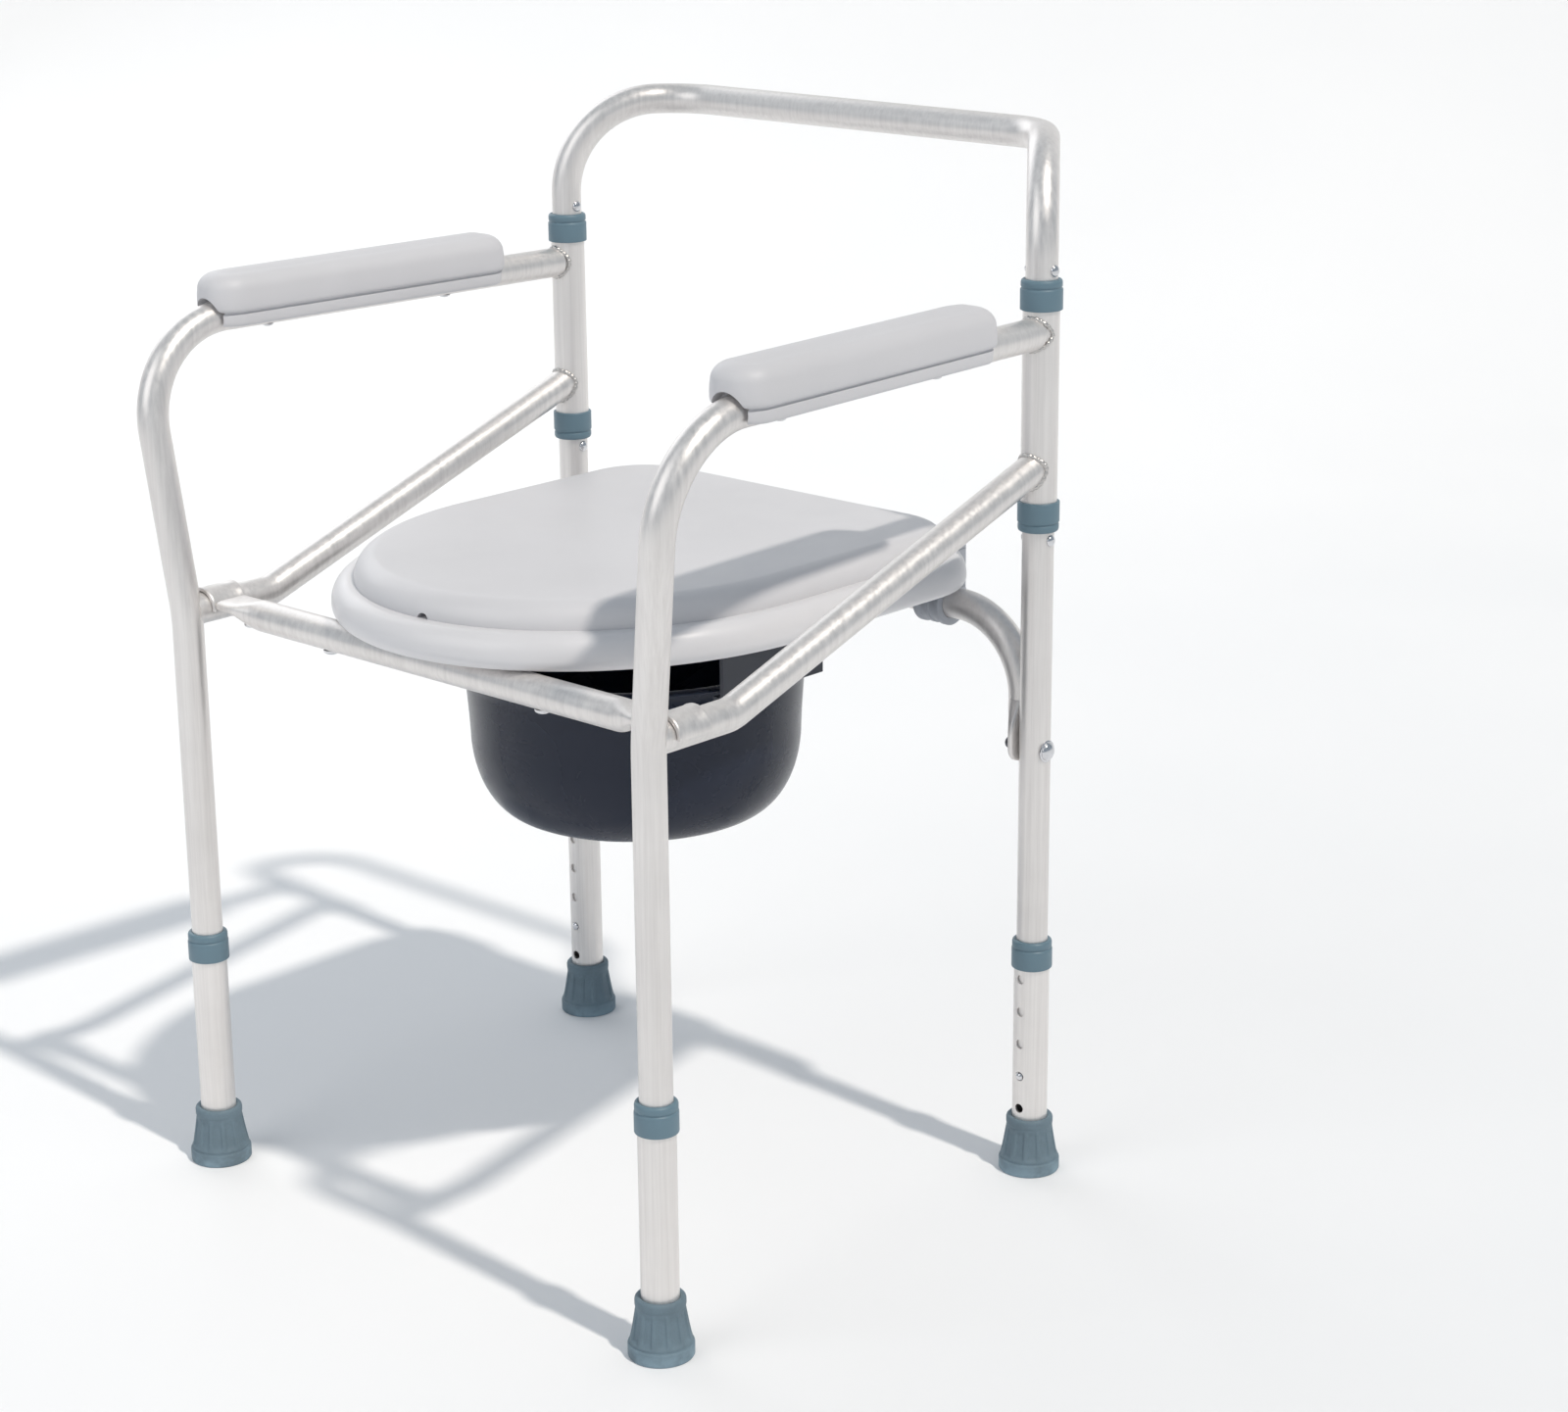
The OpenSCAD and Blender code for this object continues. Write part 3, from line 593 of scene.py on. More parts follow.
bolt_head = [(0.01, -0.4), (7.6, -0.4), (7.9, 0.0), (7.9, 0.6), (7.4, 0.9), (6.6, 0.95)]
bolt_head += [(6.5 * math.cos(k * math.pi / 20), 0.95 + 3.4 * math.sin(k * math.pi / 20))
              for k in range(0, 10)]
bolt_head += [(0.01, 4.35)]
nut_cap = [(4.6, 4.7), (4.55, 5.6)]
nut_cap += [(4.5 * math.cos(k * math.pi / 16), 5.6 + 3.6 * math.sin(k * math.pi / 16)) for k in range(1, 8)]
nut_cap += [(0.01, 9.2)]
head_parts, nut_parts = [], []
for s in (-1, 1):
    at = v(s * (REAR_X + TUBE_R - 0.6), REAR_Y, BOLT_Z)
    head_parts.append(revolve(bolt_head, at, 48, closed=False, axis=X_AXIS * s))
    inner = v(s * (REAR_X - TUBE_R - 5.2), REAR_Y, BOLT_Z)
    nut = []
    for r, h in ((5.0, 0.0), (5.5, 0.35), (5.5, 4.4), (5.0, 4.9)):
        corners = [TAU * k / 6 for k in range(6)]
        nut.append([inner + v(-s * h, r * math.cos(a), r * math.sin(a)) for a in corners])
    nut_parts += [loft(nut), revolve(nut_cap, inner, 36, closed=False, axis=X_AXIS * -s)]
piece("crossbar_bolt_heads", merge(*head_parts), "bright_steel", "back_frame", ["crossbar_bolts"])
piece("crossbar_cap_nuts", merge(*nut_parts), "dark_nut", "back_frame", ["crossbar_nuts"])

rivets = []
for x in (-REAR_X, REAR_X):
    for z in STOP_ZS:
        for s in (-1, 1):
            rivets.append(revolve(dome_profile(4.0, 2.7, -0.4), v(x + s * (TUBE_R - 0.1), REAR_Y, z), 32,
                                  closed=False, axis=X_AXIS * s))
piece("stop_rivet_heads", merge(*rivets), "bright_steel", "back_frame", ["stop_rivets"])


# ---------------------------------------------------------------- collars, sleeves, legs
COLLAR = [(12.75, 0.0), (14.1, 0.0), (14.5, 0.25), (14.6, 0.7), (14.6, 13.6), (14.45, 14.3), (13.95, 14.7),
          (13.7, 15.0), (13.7, 15.6), (14.15, 16.0), (14.25, 16.5), (14.25, 18.9), (13.9, 20.1), (13.1, 20.8),
          (12.2, 21.0), (11.3, 21.0), (11.2, 20.6), (11.2, 18.0), (12.72, 18.0)]


def collar(name, node, body, lip_up=True):
    """A plastic bush at a tube's end, with its narrow lip up or down."""
    lo, hi = box(node)
    mid = (lo + hi) / 2
    if lip_up:
        shape = revolve(COLLAR, Vector((mid.x, mid.y, lo.z)), 72)
    else:
        shape = revolve([(r, -z) for r, z in COLLAR], Vector((mid.x, mid.y, hi.z)), 72)
    piece(name, shape, "collar_plastic", body, [node], sharp=50)


for side, s in SIDES:
    body = side + "_side_frame"
    collar(side + "_upper_bush", side + "_upper_collar", body)
    collar(side + "_lower_bush", side + "_lower_collar", body, False)
    lo, hi = box(side + "_sleeve")
    length = (hi.z - lo.z) / MM
    shape = revolve([(11.25, 0.6), (11.8, 0.0), (12.2, 0.0), (OUTER_R, 0.5), (OUTER_R, 60), (OUTER_R, 110),
                     (OUTER_R, length - 0.5), (12.2, length), (11.3, length)],
                    Vector((s * REAR_X * MM, REAR_Y * MM, lo.z)), 72)
    piece(side + "_sleeve_tube", shape, "leg_tube", body, [side + "_sleeve"])


FOOT_FLUTES = 12


def foot_wave(a, r, z):
    """Shallow panels between upright ribs on the tapered part of the foot."""
    low, high = 11.5, 34.5
    if not low < z < high or r < 14:
        return 0.0
    rise = smoothstep((z - low) / 2.5) * smoothstep((high - z) / 4.0)
    t = (a * FOOT_FLUTES / TAU) % 1.0
    panel = smoothstep((t - 0.10) / 0.12) * smoothstep((0.90 - t) / 0.12)
    return -1.15 * rise * panel


def foot_shape(at):
    """A foot: ringed tread and centre hole below, wide base, tapered panels, a bead at the top."""
    profile = [(2.6, 3.0), (2.6, 0.35), (3.0, 0.0), (5.6, 0.0), (5.8, 0.2), (5.8, 1.5), (7.2, 1.5),
               (7.4, 0.2), (7.6, 0.0), (11.6, 0.0), (11.8, 0.2), (11.8, 1.5), (13.2, 1.5), (13.4, 0.2),
               (13.6, 0.0), (17.1, 0.0), (17.3, 0.2), (17.3, 1.5), (18.7, 1.5), (18.9, 0.2),
               (19.1, 0.0), (20.9, 0.0), (21.6, 0.25), (22.0, 1.0), (22.0, 2.0), (22.0, 8.2),
               (21.8, 9.0), (21.3, 9.4), (20.7, 9.6), (20.55, 10.0), (20.6, 10.6), (20.75, 11.4)]
    for k in range(0, 17):
        z = 12.0 + k * 22.5 / 16
        profile.append((20.6 - 4.0 * ((z - 12) / 22.5) ** 0.9, z))
    profile += [(16.5, 35.2), (16.75, 35.8), (16.9, 36.6), (16.9, 39.6), (16.6, 40.9), (15.8, 41.8),
                (14.8, 42.0), (13.4, 41.8), (12.8, 41.2), (12.75, 39.0), (12.75, 7.0), (2.6, 7.0)]
    return revolve(profile, at, 192, wave=foot_wave)


LEG_FLOOR = 7.0
leg_zs = [LEG_FLOOR + k * (EXT_TOP - LEG_FLOOR) / 24 for k in range(1, 24)]
leg_wall = [(11.25, LEG_FLOOR), (OUTER_R, LEG_FLOOR)] + [(OUTER_R, z) for z in leg_zs]
leg_wall += [(OUTER_R, EXT_TOP), (11.25, EXT_TOP)]
leg_wall += [(11.25, EXT_TOP - k * (EXT_TOP - LEG_FLOOR) / 24) for k in range(1, 24)]
for leg, x, y, inward in (("rear_left", REAR_X, REAR_Y, -1), ("rear_right", -REAR_X, REAR_Y, -1),
                          ("front_left", FRONT_X, FRONT_Y, 1), ("front_right", -FRONT_X, FRONT_Y, 1)):
    body = leg + "_leg"
    collar(leg + "_bush", leg + "_collar", body)
    piece(leg + "_tip", foot_shape(v(x, y, 0)), "foot_rubber", body, [leg + "_foot"], sharp=42)
    tube = raw(leg + "_outer_tube", revolve(leg_wall, v(x, y, 0), 96))
    drills = [revolve([(3.45, 6.0), (3.45, 20.0)], v(x, y, z), 32, closed=False, axis=Vector((0, inward, 0)))
              for z in HOLE_ZS]
    carve(tube, merge(*drills))
    dress(tube, "leg_tube", body, [leg + "_extension"], sharp=35)


# ---------------------------------------------------------------- side frames
def mirror_path(path, s):
    """The path on the left side for s = 1, on the right for s = -1."""
    return [Vector((p.x * s, p.y, p.z)) for p in path]


ARM_FRONT = Vector((253.5, FRONT_Y - 9, ARM_Z))
ARM_REAR = Vector((REAR_X + 1, REAR_Y, ARM_Z))
LEG_LOW = Vector((FRONT_X, FRONT_Y, TUBE_END_Z))
LEG_KINK = Vector((FRONT_X, FRONT_Y, 415))
STUB_BACK = Vector((FRONT_X, -118, STUB_Z))
BRACE_TOP = Vector((REAR_X, REAR_Y, BRACE_Z))
arm_dir = (ARM_REAR - ARM_FRONT).normalized()
brace_dir = (BRACE_TOP - STUB_BACK).normalized()


def arm_x(y):
    """Where the left arm's axis is at y."""
    return ARM_FRONT.x + arm_dir.x / arm_dir.y * (y - ARM_FRONT.y)


def pad_outline(half_l, half_w, corner, n_arc=14, n_side=26, n_end=4):
    """A rounded rectangle, the same point count whatever its size."""
    corner = min(corner, half_l - 0.05, half_w - 0.02)
    pts = []
    spans = [((half_w, -half_l + corner), (half_w, half_l - corner), n_side),
             ((half_w - corner, half_l), (-half_w + corner, half_l), n_end),
             ((-half_w, half_l - corner), (-half_w, -half_l + corner), n_side),
             ((-half_w + corner, -half_l), (half_w - corner, -half_l), n_end)]
    hubs = [(half_w - corner, half_l - corner, 0), (-half_w + corner, half_l - corner, 90),
            (-half_w + corner, -half_l + corner, 180), (half_w - corner, -half_l + corner, 270)]
    for (a, b, n), (hx, hy, a0) in zip(spans, hubs):
        for k in range(n):
            t = k / n
            pts.append((a[0] + (b[0] - a[0]) * t, a[1] + (b[1] - a[1]) * t))
        for k in range(n_arc):
            w = math.radians(a0 + 90 * k / n_arc)
            pts.append((hx + corner * math.cos(w), hy + corner * math.sin(w)))
    return pts


def pad_layers():
    """(height, inset) up the side of an arm pad: lower lip, seam groove, soft side, crowned top."""
    rows = [(0.0, 7.0), (0.0, 4.2), (0.35, 3.3), (1.1, 2.8), (3.0, 2.5), (7.4, 2.2), (8.3, 2.35), (8.9, 3.4),
            (9.7, 3.5), (10.2, 2.2), (10.8, 1.0), (11.8, 0.35), (13.4, 0.05), (17.0, 0.0), (21.0, 0.15),
            (24.0, 0.55)]
    for k in range(1, 10):
        a = math.pi / 2 * k / 9
        rows.append((24.0 + 12.0 * math.sin(a), 0.55 + 12.2 * (1 - math.cos(a))))
    for k in range(1, 7):
        t = k / 6
        rows.append((36.0 + 1.95 * math.sin(math.pi / 2 * t), 12.75 + 9.8 * t))
    return rows


PAD_HALF_L, PAD_HALF_W, PAD_CORNER = 131.8, 22.85, 20.5
leg_points = [LEG_LOW, LEG_KINK, ARM_FRONT, ARM_REAR - arm_dir * 11]
brace_points = [Vector((FRONT_X, FRONT_Y + 4, STUB_Z)), STUB_BACK, BRACE_TOP - brace_dir * 6]
for side, s in SIDES:
    body = side + "_side_frame"
    lo, hi = box(side + "_arm_pad")
    leg_path = mirror_path(rounded_path(leg_points, [0, 150, 70, 0]), s)
    piece(side + "_leg_and_arm_tube", round_tube(leg_path), "frame_tube", body, [side + "_leg_arm_tube"])
    brace_path = mirror_path(rounded_path(brace_points, [0, 30, 0]), s)
    piece(side + "_brace_tube", round_tube(brace_path), "frame_tube", body, [side + "_brace"])
    flip = Vector((s, 1, 1))
    weld(side + "_arm_weld", Vector((s * REAR_X, REAR_Y, ARM_Z)), UP, OUTER_R, ARM_REAR * flip,
         arm_dir * flip, TUBE_R, body, 1.5, s)
    weld(side + "_brace_weld", Vector((s * REAR_X, REAR_Y, BRACE_Z)), UP, OUTER_R, BRACE_TOP * flip,
         brace_dir * flip, TUBE_R, body, 1.7, 2 + s)
    # the pad, built along its own length and turned to the arm
    mid = Vector(((lo.x + hi.x) / 2, (lo.y + hi.y) / 2, lo.z))
    angle = math.atan2(arm_dir.x * s, arm_dir.y)
    spin = Matrix.Rotation(-angle, 3, "Z")
    rings = []
    for z, inset in pad_layers():
        ring = []
        corner = max(PAD_CORNER - inset * 0.8, 0.4)
        for x, y in pad_outline(PAD_HALF_L - inset, PAD_HALF_W - inset, corner):
            ring.append(mid + spin @ v(x, y, z))
        rings.append(ring)
    pad = raw(side + "_arm_rest", loft(rings))
    # hollow it for the tube, with a wider mouth at the front end
    inside = sweep(leg_path[8:], lambda i: (TUBE_R + 0.5, TUBE_R + 0.5, 2.0), 40)
    mouth_from = Vector((ARM_FRONT.x * s, 0, ARM_Z)) + Vector((0, lo.y / MM - 14, 0))
    mouth_to = mouth_from + Vector((arm_dir.x * s, arm_dir.y, 0)) * 25
    shift = (mouth_from.y - ARM_FRONT.y) * arm_dir.x / arm_dir.y * s
    mouth_from.x += shift
    mouth_to.x += shift
    mouth = sweep([mouth_from, mouth_to], lambda i: (TUBE_R + 2.4, TUBE_R + 2.6, 2.0), 48)
    carve(pad, inside, mouth)
    dress(pad, "pad_plastic", body, [side + "_arm_pad"], sharp=48)
    # screw heads under the arm
    heads, slots = [], []
    for y in PAD_SCREW_YS:
        x, z = s * arm_x(y), ARM_Z - TUBE_R
        heads.append(revolve(dome_profile(4.2, 2.2, -0.3), v(x, y, z + 0.15), 32, closed=False, axis=DOWN))
        slots += [block((x - 2.4, y - 0.45, z - 3), (x + 2.4, y + 0.45, z - 0.9)),
                  block((x - 0.45, y - 2.4, z - 3), (x + 0.45, y + 2.4, z - 0.9))]
    screws = raw(side + "_pad_screw_heads", merge(*heads))
    carve(screws, *slots)
    dress(screws, "bright_steel", body, [side + "_pad_screws"])


# ---------------------------------------------------------------- front bar with saddles
BAR_Y, BAR_Z = FRONT_Y + 27.5, STUB_Z


def bar_tube():
    """A tube pressed to a flat strap at each end."""
    half = 212.0
    xs = [half - 2 * half * k / 240 for k in range(241)]

    def flatness(x):
        return smoothstep((abs(x) - 176) / 26)

    path = [Vector((x, BAR_Y, BAR_Z + 3.5 * flatness(x))) for x in xs]

    def section(i):
        s = flatness(xs[i])
        return (TUBE_R + (14.4 - TUBE_R) * s, TUBE_R + (3.6 - TUBE_R) * s, 2.0 + 1.6 * s)

    return sweep(path, section, 56)


def saddle(s):
    """A half ring over the stub, its rims rolled outward a little."""
    rows = []
    inner, thick, half = TUBE_R + 0.45, 2.7, 14.5
    cross = [(-half, 0.5), (-half + 0.5, 0.0), (half - 0.5, 0.0), (half, 0.5), (half, thick - 0.1),
             (half - 0.8, thick + 0.35), (half - 2.2, thick + 0.45), (half - 3.6, thick),
             (-half + 3.6, thick), (-half + 2.2, thick + 0.45), (-half + 0.8, thick + 0.35),
             (-half, thick - 0.1)]
    for k in range(0, 33):
        a = math.radians(-4 + 188 * k / 32)
        ring = []
        for y, h in cross:
            r = inner + h
            ring.append(v(s * (FRONT_X + r * math.cos(a)), BAR_Y + y, STUB_Z + r * math.sin(a)))
        rows.append(ring)
    return loft(rows)


piece("front_bar_tube", bar_tube(), "frame_tube", "seat_unit", ["front_bar"])
for side, s in SIDES:
    obj = raw(side + "_bar_saddle", saddle(s))
    bevelled(obj, 0.5, 2, 40)
    dress(obj, "frame_tube", "seat_unit")

heads = []
for xs, r, h, lift in (((-105.0, 105.0), 5.6, 3.6, 0.2), ((-192.0, 192.0), 4.8, 3.0, 2.6)):
    for x in xs:
        heads.append(revolve(dome_profile(r, h, -0.5), v(x, BAR_Y, BAR_Z - TUBE_R + lift), 40,
                             closed=False, axis=DOWN))
piece("front_bar_rivet_heads", merge(*heads), "bright_steel", "seat_unit", ["front_bar_rivets"])


# ---------------------------------------------------------------- seat and lid
NOSE_Y, NOSE_LEN = 8.0, 190.0
LID_HALF = (lid_hi.x - lid_lo.x) / 2 / MM
LID_BACK = 203.0
CORNER_R = 55.0
SEAT_Z, SEAT_TOP = seat_lo.z / MM, 454.5
LID_Z, LID_TOP = lid_lo.z / MM, lid_hi.z / MM


def outline(margin, z, n_back=10, n_corner=10, n_side=24, n_nose=120):
    """The seat's plan shape grown by margin: oval nose, straight sides, straight back, round corners."""
    hw = LID_HALF + margin
    back = LID_BACK + margin / 8 if margin > 0 else LID_BACK + margin
    cr = max(1.0, CORNER_R + (margin if margin < 0 else 0))
    nose = NOSE_LEN + margin
    ring = [((hw - cr) * k / n_back, back) for k in range(n_back)]
    for k in range(n_corner):
        a = math.pi / 2 * (1 - k / n_corner)
        ring.append((hw - cr + cr * math.cos(a), back - cr + cr * math.sin(a)))
    for k in range(n_side):
        ring.append((hw, back - cr + (NOSE_Y - back + cr) * k / n_side))
    for k in range(n_nose):
        a = math.pi * k / n_nose
        ring.append((hw * math.cos(a), NOSE_Y - nose * math.sin(a)))
    for k in range(n_side):
        ring.append((-hw, NOSE_Y + (back - cr - NOSE_Y) * k / n_side))
    for k in range(n_corner):
        a = math.pi / 2 * k / n_corner
        ring.append((-hw + cr - cr * math.cos(a), back - cr + cr * math.sin(a)))
    for k in range(n_back):
        ring.append(((-hw + cr) * (1 - k / n_back), back))
    return [v(x, y, z) for x, y in ring]


def hole_ring(grow, z, n_back=10, n_corner=10, n_side=24, n_nose=120):
    """The seat's opening, two half circles and two straights, with as many points as outline."""
    r, rear, front = 98.0 + grow, 32, -18
    ring = []
    n = n_back + n_corner
    for k in range(n):
        a = math.pi / 2 * (1 - k / n)
        ring.append((r * math.cos(a), rear + r * math.sin(a)))
    for k in range(n_side):
        ring.append((r, rear + (front - rear) * k / n_side))
    for k in range(n_nose):
        a = math.pi * k / n_nose
        ring.append((r * math.cos(a), front - r * math.sin(a)))
    for k in range(n_side):
        ring.append((-r, front + (rear - front) * k / n_side))
    for k in range(n):
        a = math.pi / 2 * k / n
        ring.append((-r * math.cos(a), rear + r * math.sin(a)))
    return [v(x, y, z) for x, y in ring]


def between(a, b, t, z):
    """A ring a share t of the way from ring a to ring b, at height z."""
    return [Vector((p.x + (q.x - p.x) * t, p.y + (q.y - p.y) * t, z * MM)) for p, q in zip(a, b)]


seat_margin = (seat_hi.x - seat_lo.x) / 2 / MM - LID_HALF
rings = []
for k in range(0, 8):
    a = math.pi / 2 * k / 7
    rings.append(outline(seat_margin - 9 + 9 * math.sin(a), SEAT_Z + 9 - 9 * math.cos(a)))
for k in range(1, 12):
    a = math.pi / 2 * k / 11
    rings.append(outline(seat_margin - 12.5 + 12.5 * math.cos(a), SEAT_TOP - 15 + 15 * math.sin(a)))
rim, hole = outline(seat_margin - 12.5, SEAT_TOP), hole_ring(0, SEAT_TOP)
for t, dz in ((0.15, 0.0), (0.35, -0.5), (0.6, -1.6), (0.8, -2.6), (0.92, -3.4)):
    rings.append(between(rim, hole, t, SEAT_TOP + dz))
for k in range(1, 7):
    a = math.pi / 2 * k / 6
    rings.append(hole_ring(6 * (1 - math.sin(a)), SEAT_TOP - 4.0 - 6 * (1 - math.cos(a))))
rings.append(hole_ring(0, SEAT_Z + 6))
rings.append(hole_ring(1.2, SEAT_Z + 1.2))
rings.append(hole_ring(2.4, SEAT_Z))
under = outline(seat_margin - 9, SEAT_Z)
rings.append(between(hole_ring(2.4, SEAT_Z), under, 0.5, SEAT_Z))
piece("seat_ring", loft(rings, closed=True), "seat_plastic", "seat_unit", ["seat"], sharp=60)

lip = ((-9.0, 9.0), (-8.0, 8.4), (-7.0, 1.0), (-6.4, 0.2), (-2.6, 0), (-1.0, 0.35), (-0.2, 1.2), (0, 2.4),
       (-0.1, 4.5))
rings = [outline(m, LID_Z + dz) for m, dz in lip]
for k in range(1, 15):
    a = math.pi / 2 * k / 14
    rings.append(outline(-0.1 - 17 * (1 - math.cos(a)), LID_Z + 4.5 + (LID_TOP - LID_Z - 5.1) * math.sin(a)))
for m, dz in ((-20, -0.5), (-24, -0.35), (-40, -0.2), (-80, -0.05), (-130, 0.0)):
    rings.append(outline(m, LID_TOP + dz))
lid = raw("lid_panel", loft(rings))
# the finger notch in the nose, square to the lid's edge
notch_x = 12.0
notch_cos = math.sqrt(1 - (notch_x / LID_HALF) ** 2)
notch_y = NOSE_Y - NOSE_LEN * notch_cos
turn = Matrix.Rotation(math.atan(NOSE_LEN * notch_x / LID_HALF ** 2 / notch_cos), 3, "Z")
notch = sweep([Vector((notch_x, notch_y - 8, LID_Z + 1)), Vector((notch_x, notch_y + 9, LID_Z + 1))],
              lambda i: (5.0, 6.2, 2.4), 32)
here = v(notch_x, notch_y, LID_Z)
carve(lid, ([here + turn @ (p - here) for p in notch[0]], notch[1]))
dress(lid, "lid_plastic", "lid", ["lid"], sharp=50)

# stiffening ribs inside the lid, seen when it is open
ribs = []
for x in (-96, -48, 0, 48, 96):
    reach = NOSE_Y - (NOSE_LEN - 14) * math.sqrt(1 - (x / (LID_HALF - 10)) ** 2)
    ribs.append(block((x - 1.1, reach, LID_Z + 3.2), (x + 1.1, LID_BACK - 10, LID_Z + 9.4)))
for y in (-90, -20, 50, 120):
    reach = (LID_HALF - 10) * (math.sqrt(1 - ((NOSE_Y - y) / (NOSE_LEN - 10)) ** 2) if y < NOSE_Y else 1.0)
    ribs.append(block((-reach, y - 1.1, LID_Z + 3.2), (reach, y + 1.1, LID_Z + 9.4)))
obj = raw("lid_ribs", merge(*ribs))
bevelled(obj, 0.5, 2)
dress(obj, "lid_plastic", "lid")

# hinge knuckles of lid and seat
def knuckle(swing, tail, xs):
    """Lugs around the lid's axis: an arc through swing degrees, closed by the tail's (y, z) points."""
    loop = []
    for k in range(0, 13):
        a = math.radians(90 - swing * k / 12)
        loop.append((LID_AXIS_Y + 6 * math.cos(a), LID_AXIS_Z + 6 * math.sin(a)))
    loop += tail
    return merge(*[loft([[v(xx, y, z) for y, z in loop] for xx in (x - 6.8, x + 6.8)]) for x in xs])


lid_tail = [(LID_BACK - 12, LID_AXIS_Z - 1.0), (LID_BACK - 12, LID_AXIS_Z + 6)]
seat_tail = [(LID_AXIS_Y - 1, SEAT_Z + 9), (LID_AXIS_Y - 20, SEAT_Z + 9), (LID_AXIS_Y - 20, SEAT_TOP - 4),
             (LID_AXIS_Y - 8, SEAT_TOP - 1)]
for name, shape, slot_name, body in (
        ("lid_hinge_lugs", knuckle(200, lid_tail, (-88, 88)), "lid_plastic", "lid"),
        ("seat_hinge_lugs", knuckle(180, seat_tail, (-104, 104)), "seat_plastic", "seat_unit")):
    obj = raw(name, shape)
    bevelled(obj, 0.7, 3, 30)
    dress(obj, slot_name, body, sharp=35)

pins = []
for x in (-LID_PIN_X, LID_PIN_X):
    for s in (-1, 1):
        at = v(x + s * 16.2, LID_AXIS_Y, LID_AXIS_Z)
        pins.append(revolve(dome_profile(3.5, 1.6, -0.6), at, 28, closed=False, axis=X_AXIS * s))
    at = v(x, LID_AXIS_Y, LID_AXIS_Z)
    pins.append(revolve([(2.0, -16), (2.0, 16)], at, 28, closed=False, axis=X_AXIS))
piece("lid_pins", merge(*pins), "bright_steel", "seat_unit", ["lid_hinge_pins"])

stud = [(0.01, 0.2), (2.8, 0.2), (3.7, 0.8), (4.0, 1.6), (4.0, 9.5)]
buffers = [revolve(stud, v(x, y, SEAT_TOP), 28, closed=False)
           for x, y in ((-120, -60), (120, -60), (-130, 150), (130, 150))]
piece("lid_buffer_studs", merge(*buffers), "buffer_rubber", "lid", ["lid_buffers"])

# ---------------------------------------------------------------- hinge brackets on the crossbar
for side, s in SIDES:
    x = s * BRACKET_X
    hub = v(x, HINGE_Y, HINGE_Z)
    half_ring = [(15.6, 2.0), (15.4, 2.4), (15.4, 7.0), (15.6, 7.4), (16.5, 7.8), (16.9, 8.2), (16.9, 11.6),
                 (16.2, 12.0), (11.7, 12.0)]
    ring = [(11.25, -11.6), (11.25, 11.6)] + half_ring[::-1]
    ring += [(16.5, 1.6), (16.5, -1.6)] + [(r, -z) for r, z in half_ring]
    piece(side + "_hinge_ring", revolve(ring, hub, 72, axis=X_AXIS), "bracket_plastic", "seat_unit",
          ["hinge_brackets"] if s > 0 else ())
    parts = [block((x - 12, HINGE_Y - 33, SEAT_Z - 4), (x + 12, HINGE_Y + 2, SEAT_Z - 0.2)),
             block((x - 10.5, HINGE_Y - 14, HINGE_Z + 12), (x + 10.5, HINGE_Y - 5, SEAT_Z - 2)),
             block((x - 10.5, HINGE_Y + 5, HINGE_Z + 12), (x + 10.5, HINGE_Y + 10.5, HINGE_Z + 38.5)),
             block((x - 12, HINGE_Y + 4.6, HINGE_Z + 36.5), (x + 12, HINGE_Y + 14.6, HINGE_Z + 40))]
    for rib in (-12, -6.6, -1.4, 3.8, 9.2):
        lo_x, hi_x = x + rib, x + rib + 2.8
        parts.append(block((lo_x, HINGE_Y + 4.8, HINGE_Z + 8), (hi_x, HINGE_Y + 14.6, HINGE_Z + 38)))
        parts.append(block((lo_x, HINGE_Y - 31, SEAT_Z - 14), (hi_x, HINGE_Y - 8, SEAT_Z - 2)))
    obj = raw(side + "_hinge_block", merge(*parts))
    bevelled(obj, 0.6, 2)
    dress(obj, "bracket_plastic", "seat_unit")

# ---------------------------------------------------------------- pail
pail_mid = (pail_lo + pail_hi) / 2
RIM_R = (pail_hi.x - pail_lo.x) / 2 / MM


def pail_bowl(off):
    """The bowl's round lower wall, from the flat bottom up to where it stands nearly upright."""
    rows = []
    for k in range(0, 21):
        a = math.pi / 2 * k / 20
        rows.append((82.0 - off + 35.5 * math.sin(a), off + (60.0 - off) * (1 - math.cos(a))))
    return rows


def pail_profile():
    """Round the pail's wall: up the outside, over the rim, down the inside and across the floor."""
    outer = pail_bowl(0.0) + [(118.1, 72.0), (119.1, 86.0), (120.0, 97.0), (120.6, 104.0), (121.6, 105.2),
                              (121.9, 106.5), (121.6, 107.8), (121.2, 108.6), (121.4, 113.5)]
    rim = [(121.8, 115.2), (123.2, 116.0), (RIM_R - 2.0, 116.2), (RIM_R - 0.7, 116.5), (RIM_R - 0.1, 117.3),
           (RIM_R - 0.3, 118.4), (RIM_R - 1.4, 119.0), (123.0, 119.0), (120.6, 118.6), (119.2, 117.4)]
    inner = [(118.2, 104.0), (117.6, 97.0), (116.7, 86.0), (115.7, 72.0)] + list(reversed(pail_bowl(2.4)))
    floor = [(0.01, 2.6), (0.01, 0.8), (78.0, 0.8), (80.0, 0.0)]
    return outer + rim + inner + floor


shape = revolve(pail_profile(), Vector((pail_mid.x, pail_mid.y, pail_lo.z)), 160)
piece("pail_shell", shape, "pail_plastic", "pail", ["pail"], sharp=44)

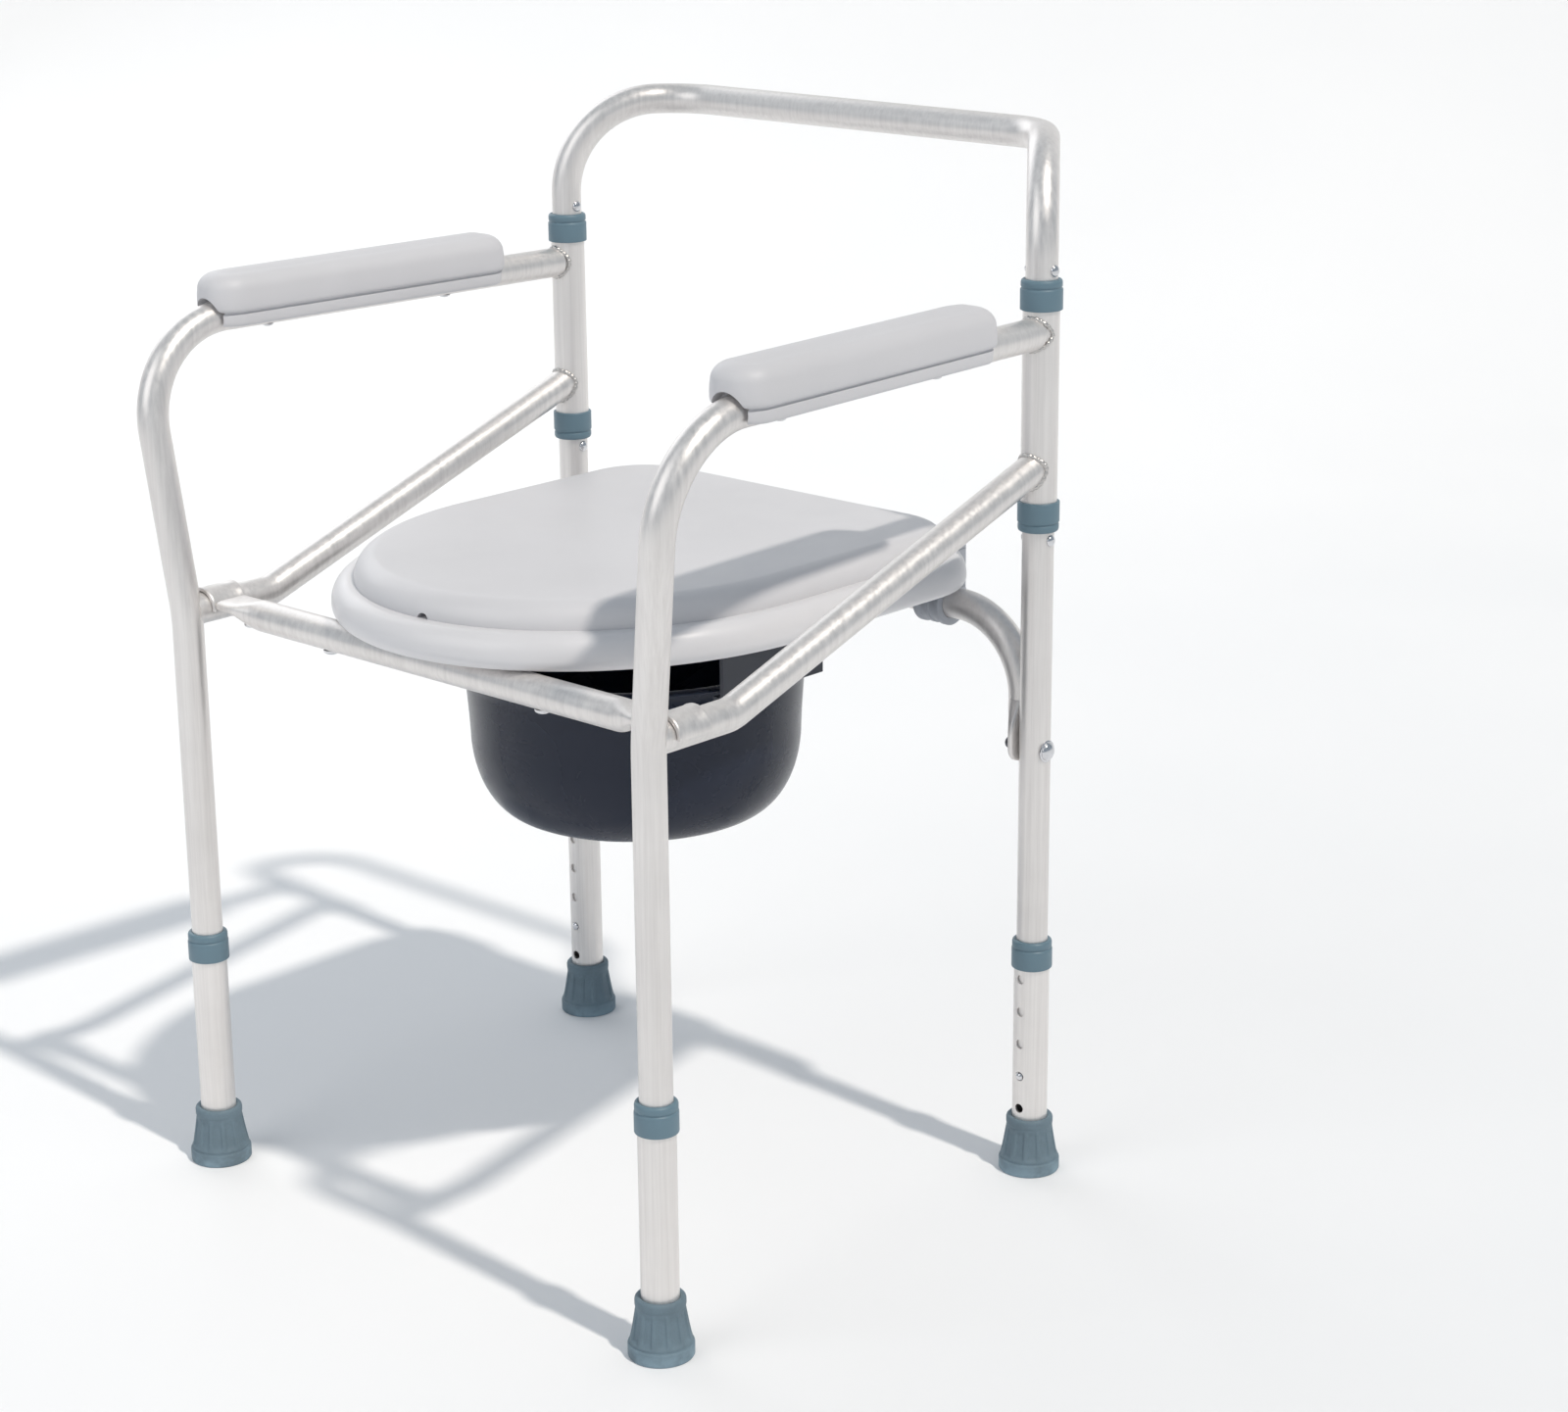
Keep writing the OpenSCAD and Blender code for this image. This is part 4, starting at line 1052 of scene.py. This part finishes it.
# ---------------------------------------------------------------- CAD nodes that stay, with finished surfaces
for node, obj in frame["nodes"].items():
    if obj.hide_render:
        continue
    slot_name = next(r["material_slot"] for r in frame["record"]["subparts"] if r["node"] == node)
    shade(obj, 35)
    if obj.data.materials:
        for k in range(len(obj.data.materials)):
            obj.data.materials[k] = MATERIALS[slot_name]
    else:
        obj.data.materials.append(MATERIALS[slot_name])

# ---------------------------------------------------------------- floor, light, camera
floor_mat = Mat("studio_floor")
haze = floor_mat.noise(1.2, 2, 0.5)
floor_colour = floor_mat.ramp(haze, [(0.3, (0.86, 0.865, 0.875)), (0.7, (0.90, 0.90, 0.905))])
floor_mat.set(Base_Color=floor_colour, Roughness=0.75)
reach, turn_y, turn_r, wall_top = 9.0, 2.2, 1.6, 6.0
sheet = [(-reach, 0), (turn_y, 0)]
for k in range(1, 13):
    a = math.pi / 2 * k / 12
    sheet.append((turn_y + turn_r * math.sin(a), turn_r * (1 - math.cos(a))))
sheet.append((turn_y + turn_r, wall_top))
to_camera = Matrix.Rotation(math.radians(42.6), 3, "Z")
verts = [to_camera @ Vector((x, y, z)) for y, z in sheet for x in (-reach, reach)]
faces = [(2 * i, 2 * i + 1, 2 * i + 3, 2 * i + 2) for i in range(len(sheet) - 1)]
floor = new_object("studio_floor", (verts, faces))
floor.data.shade_smooth()
floor.data.materials.append(floor_mat.m)

world = bpy.data.worlds.new("studio")
scene.world = world
world.use_nodes = True
world.node_tree.nodes["Background"].inputs["Color"].default_value = (0.76, 0.88, 1.0, 1)
world.node_tree.nodes["Background"].inputs["Strength"].default_value = 0.40


def lamp(name, kind, at, aim, energy, size, colour):
    """A light that points from at to aim; size is a sun's angle or an area light's width."""
    data = bpy.data.lights.new(name, kind)
    data.energy = energy
    data.color = colour
    if kind == "AREA":
        data.size = size
    else:
        data.angle = size
    obj = bpy.data.objects.new(name, data)
    obj.location = at
    obj.rotation_mode = "QUATERNION"
    obj.rotation_quaternion = (Vector(aim) - Vector(at)).to_track_quat("-Z", "Y")
    scene.collection.objects.link(obj)


lamp("key", "SUN", (1.75, -0.10, 2.9), (0, 0, 0.3), 2.0, math.radians(2.5), (1.0, 0.94, 0.865))
lamp("front_fill", "AREA", (-0.6, -3.0, 2.2), (0, 0, 0.4), 26, 2.4, (1.0, 0.98, 0.96))
lamp("side_fill", "AREA", (-2.6, 0.6, 1.9), (0, 0, 0.4), 14, 2.0, (0.95, 0.97, 1.0))

az, el, roll = math.radians(42.60), math.radians(17.11), math.radians(-0.496)
back = Vector((math.sin(az) * math.cos(el), -math.cos(az) * math.cos(el), math.sin(el)))
right = Vector((math.cos(az), math.sin(az), 0))
up = back.cross(right)
right, up = right * math.cos(roll) + up * math.sin(roll), up * math.cos(roll) - right * math.sin(roll)
cam_data = bpy.data.cameras.new("camera")
cam_data.lens = 75.5
cam_data.sensor_width = 36
cam = bpy.data.objects.new("camera", cam_data)
cam_turn = Matrix((right, up, back)).transposed().to_4x4()
cam.matrix_world = Matrix.Translation(Vector((1.5897, -1.5483, 1.0310)) + CHAIR_ORIGIN) @ cam_turn
scene.collection.objects.link(cam)
scene.camera = cam
scene.view_settings.view_transform = "Standard"
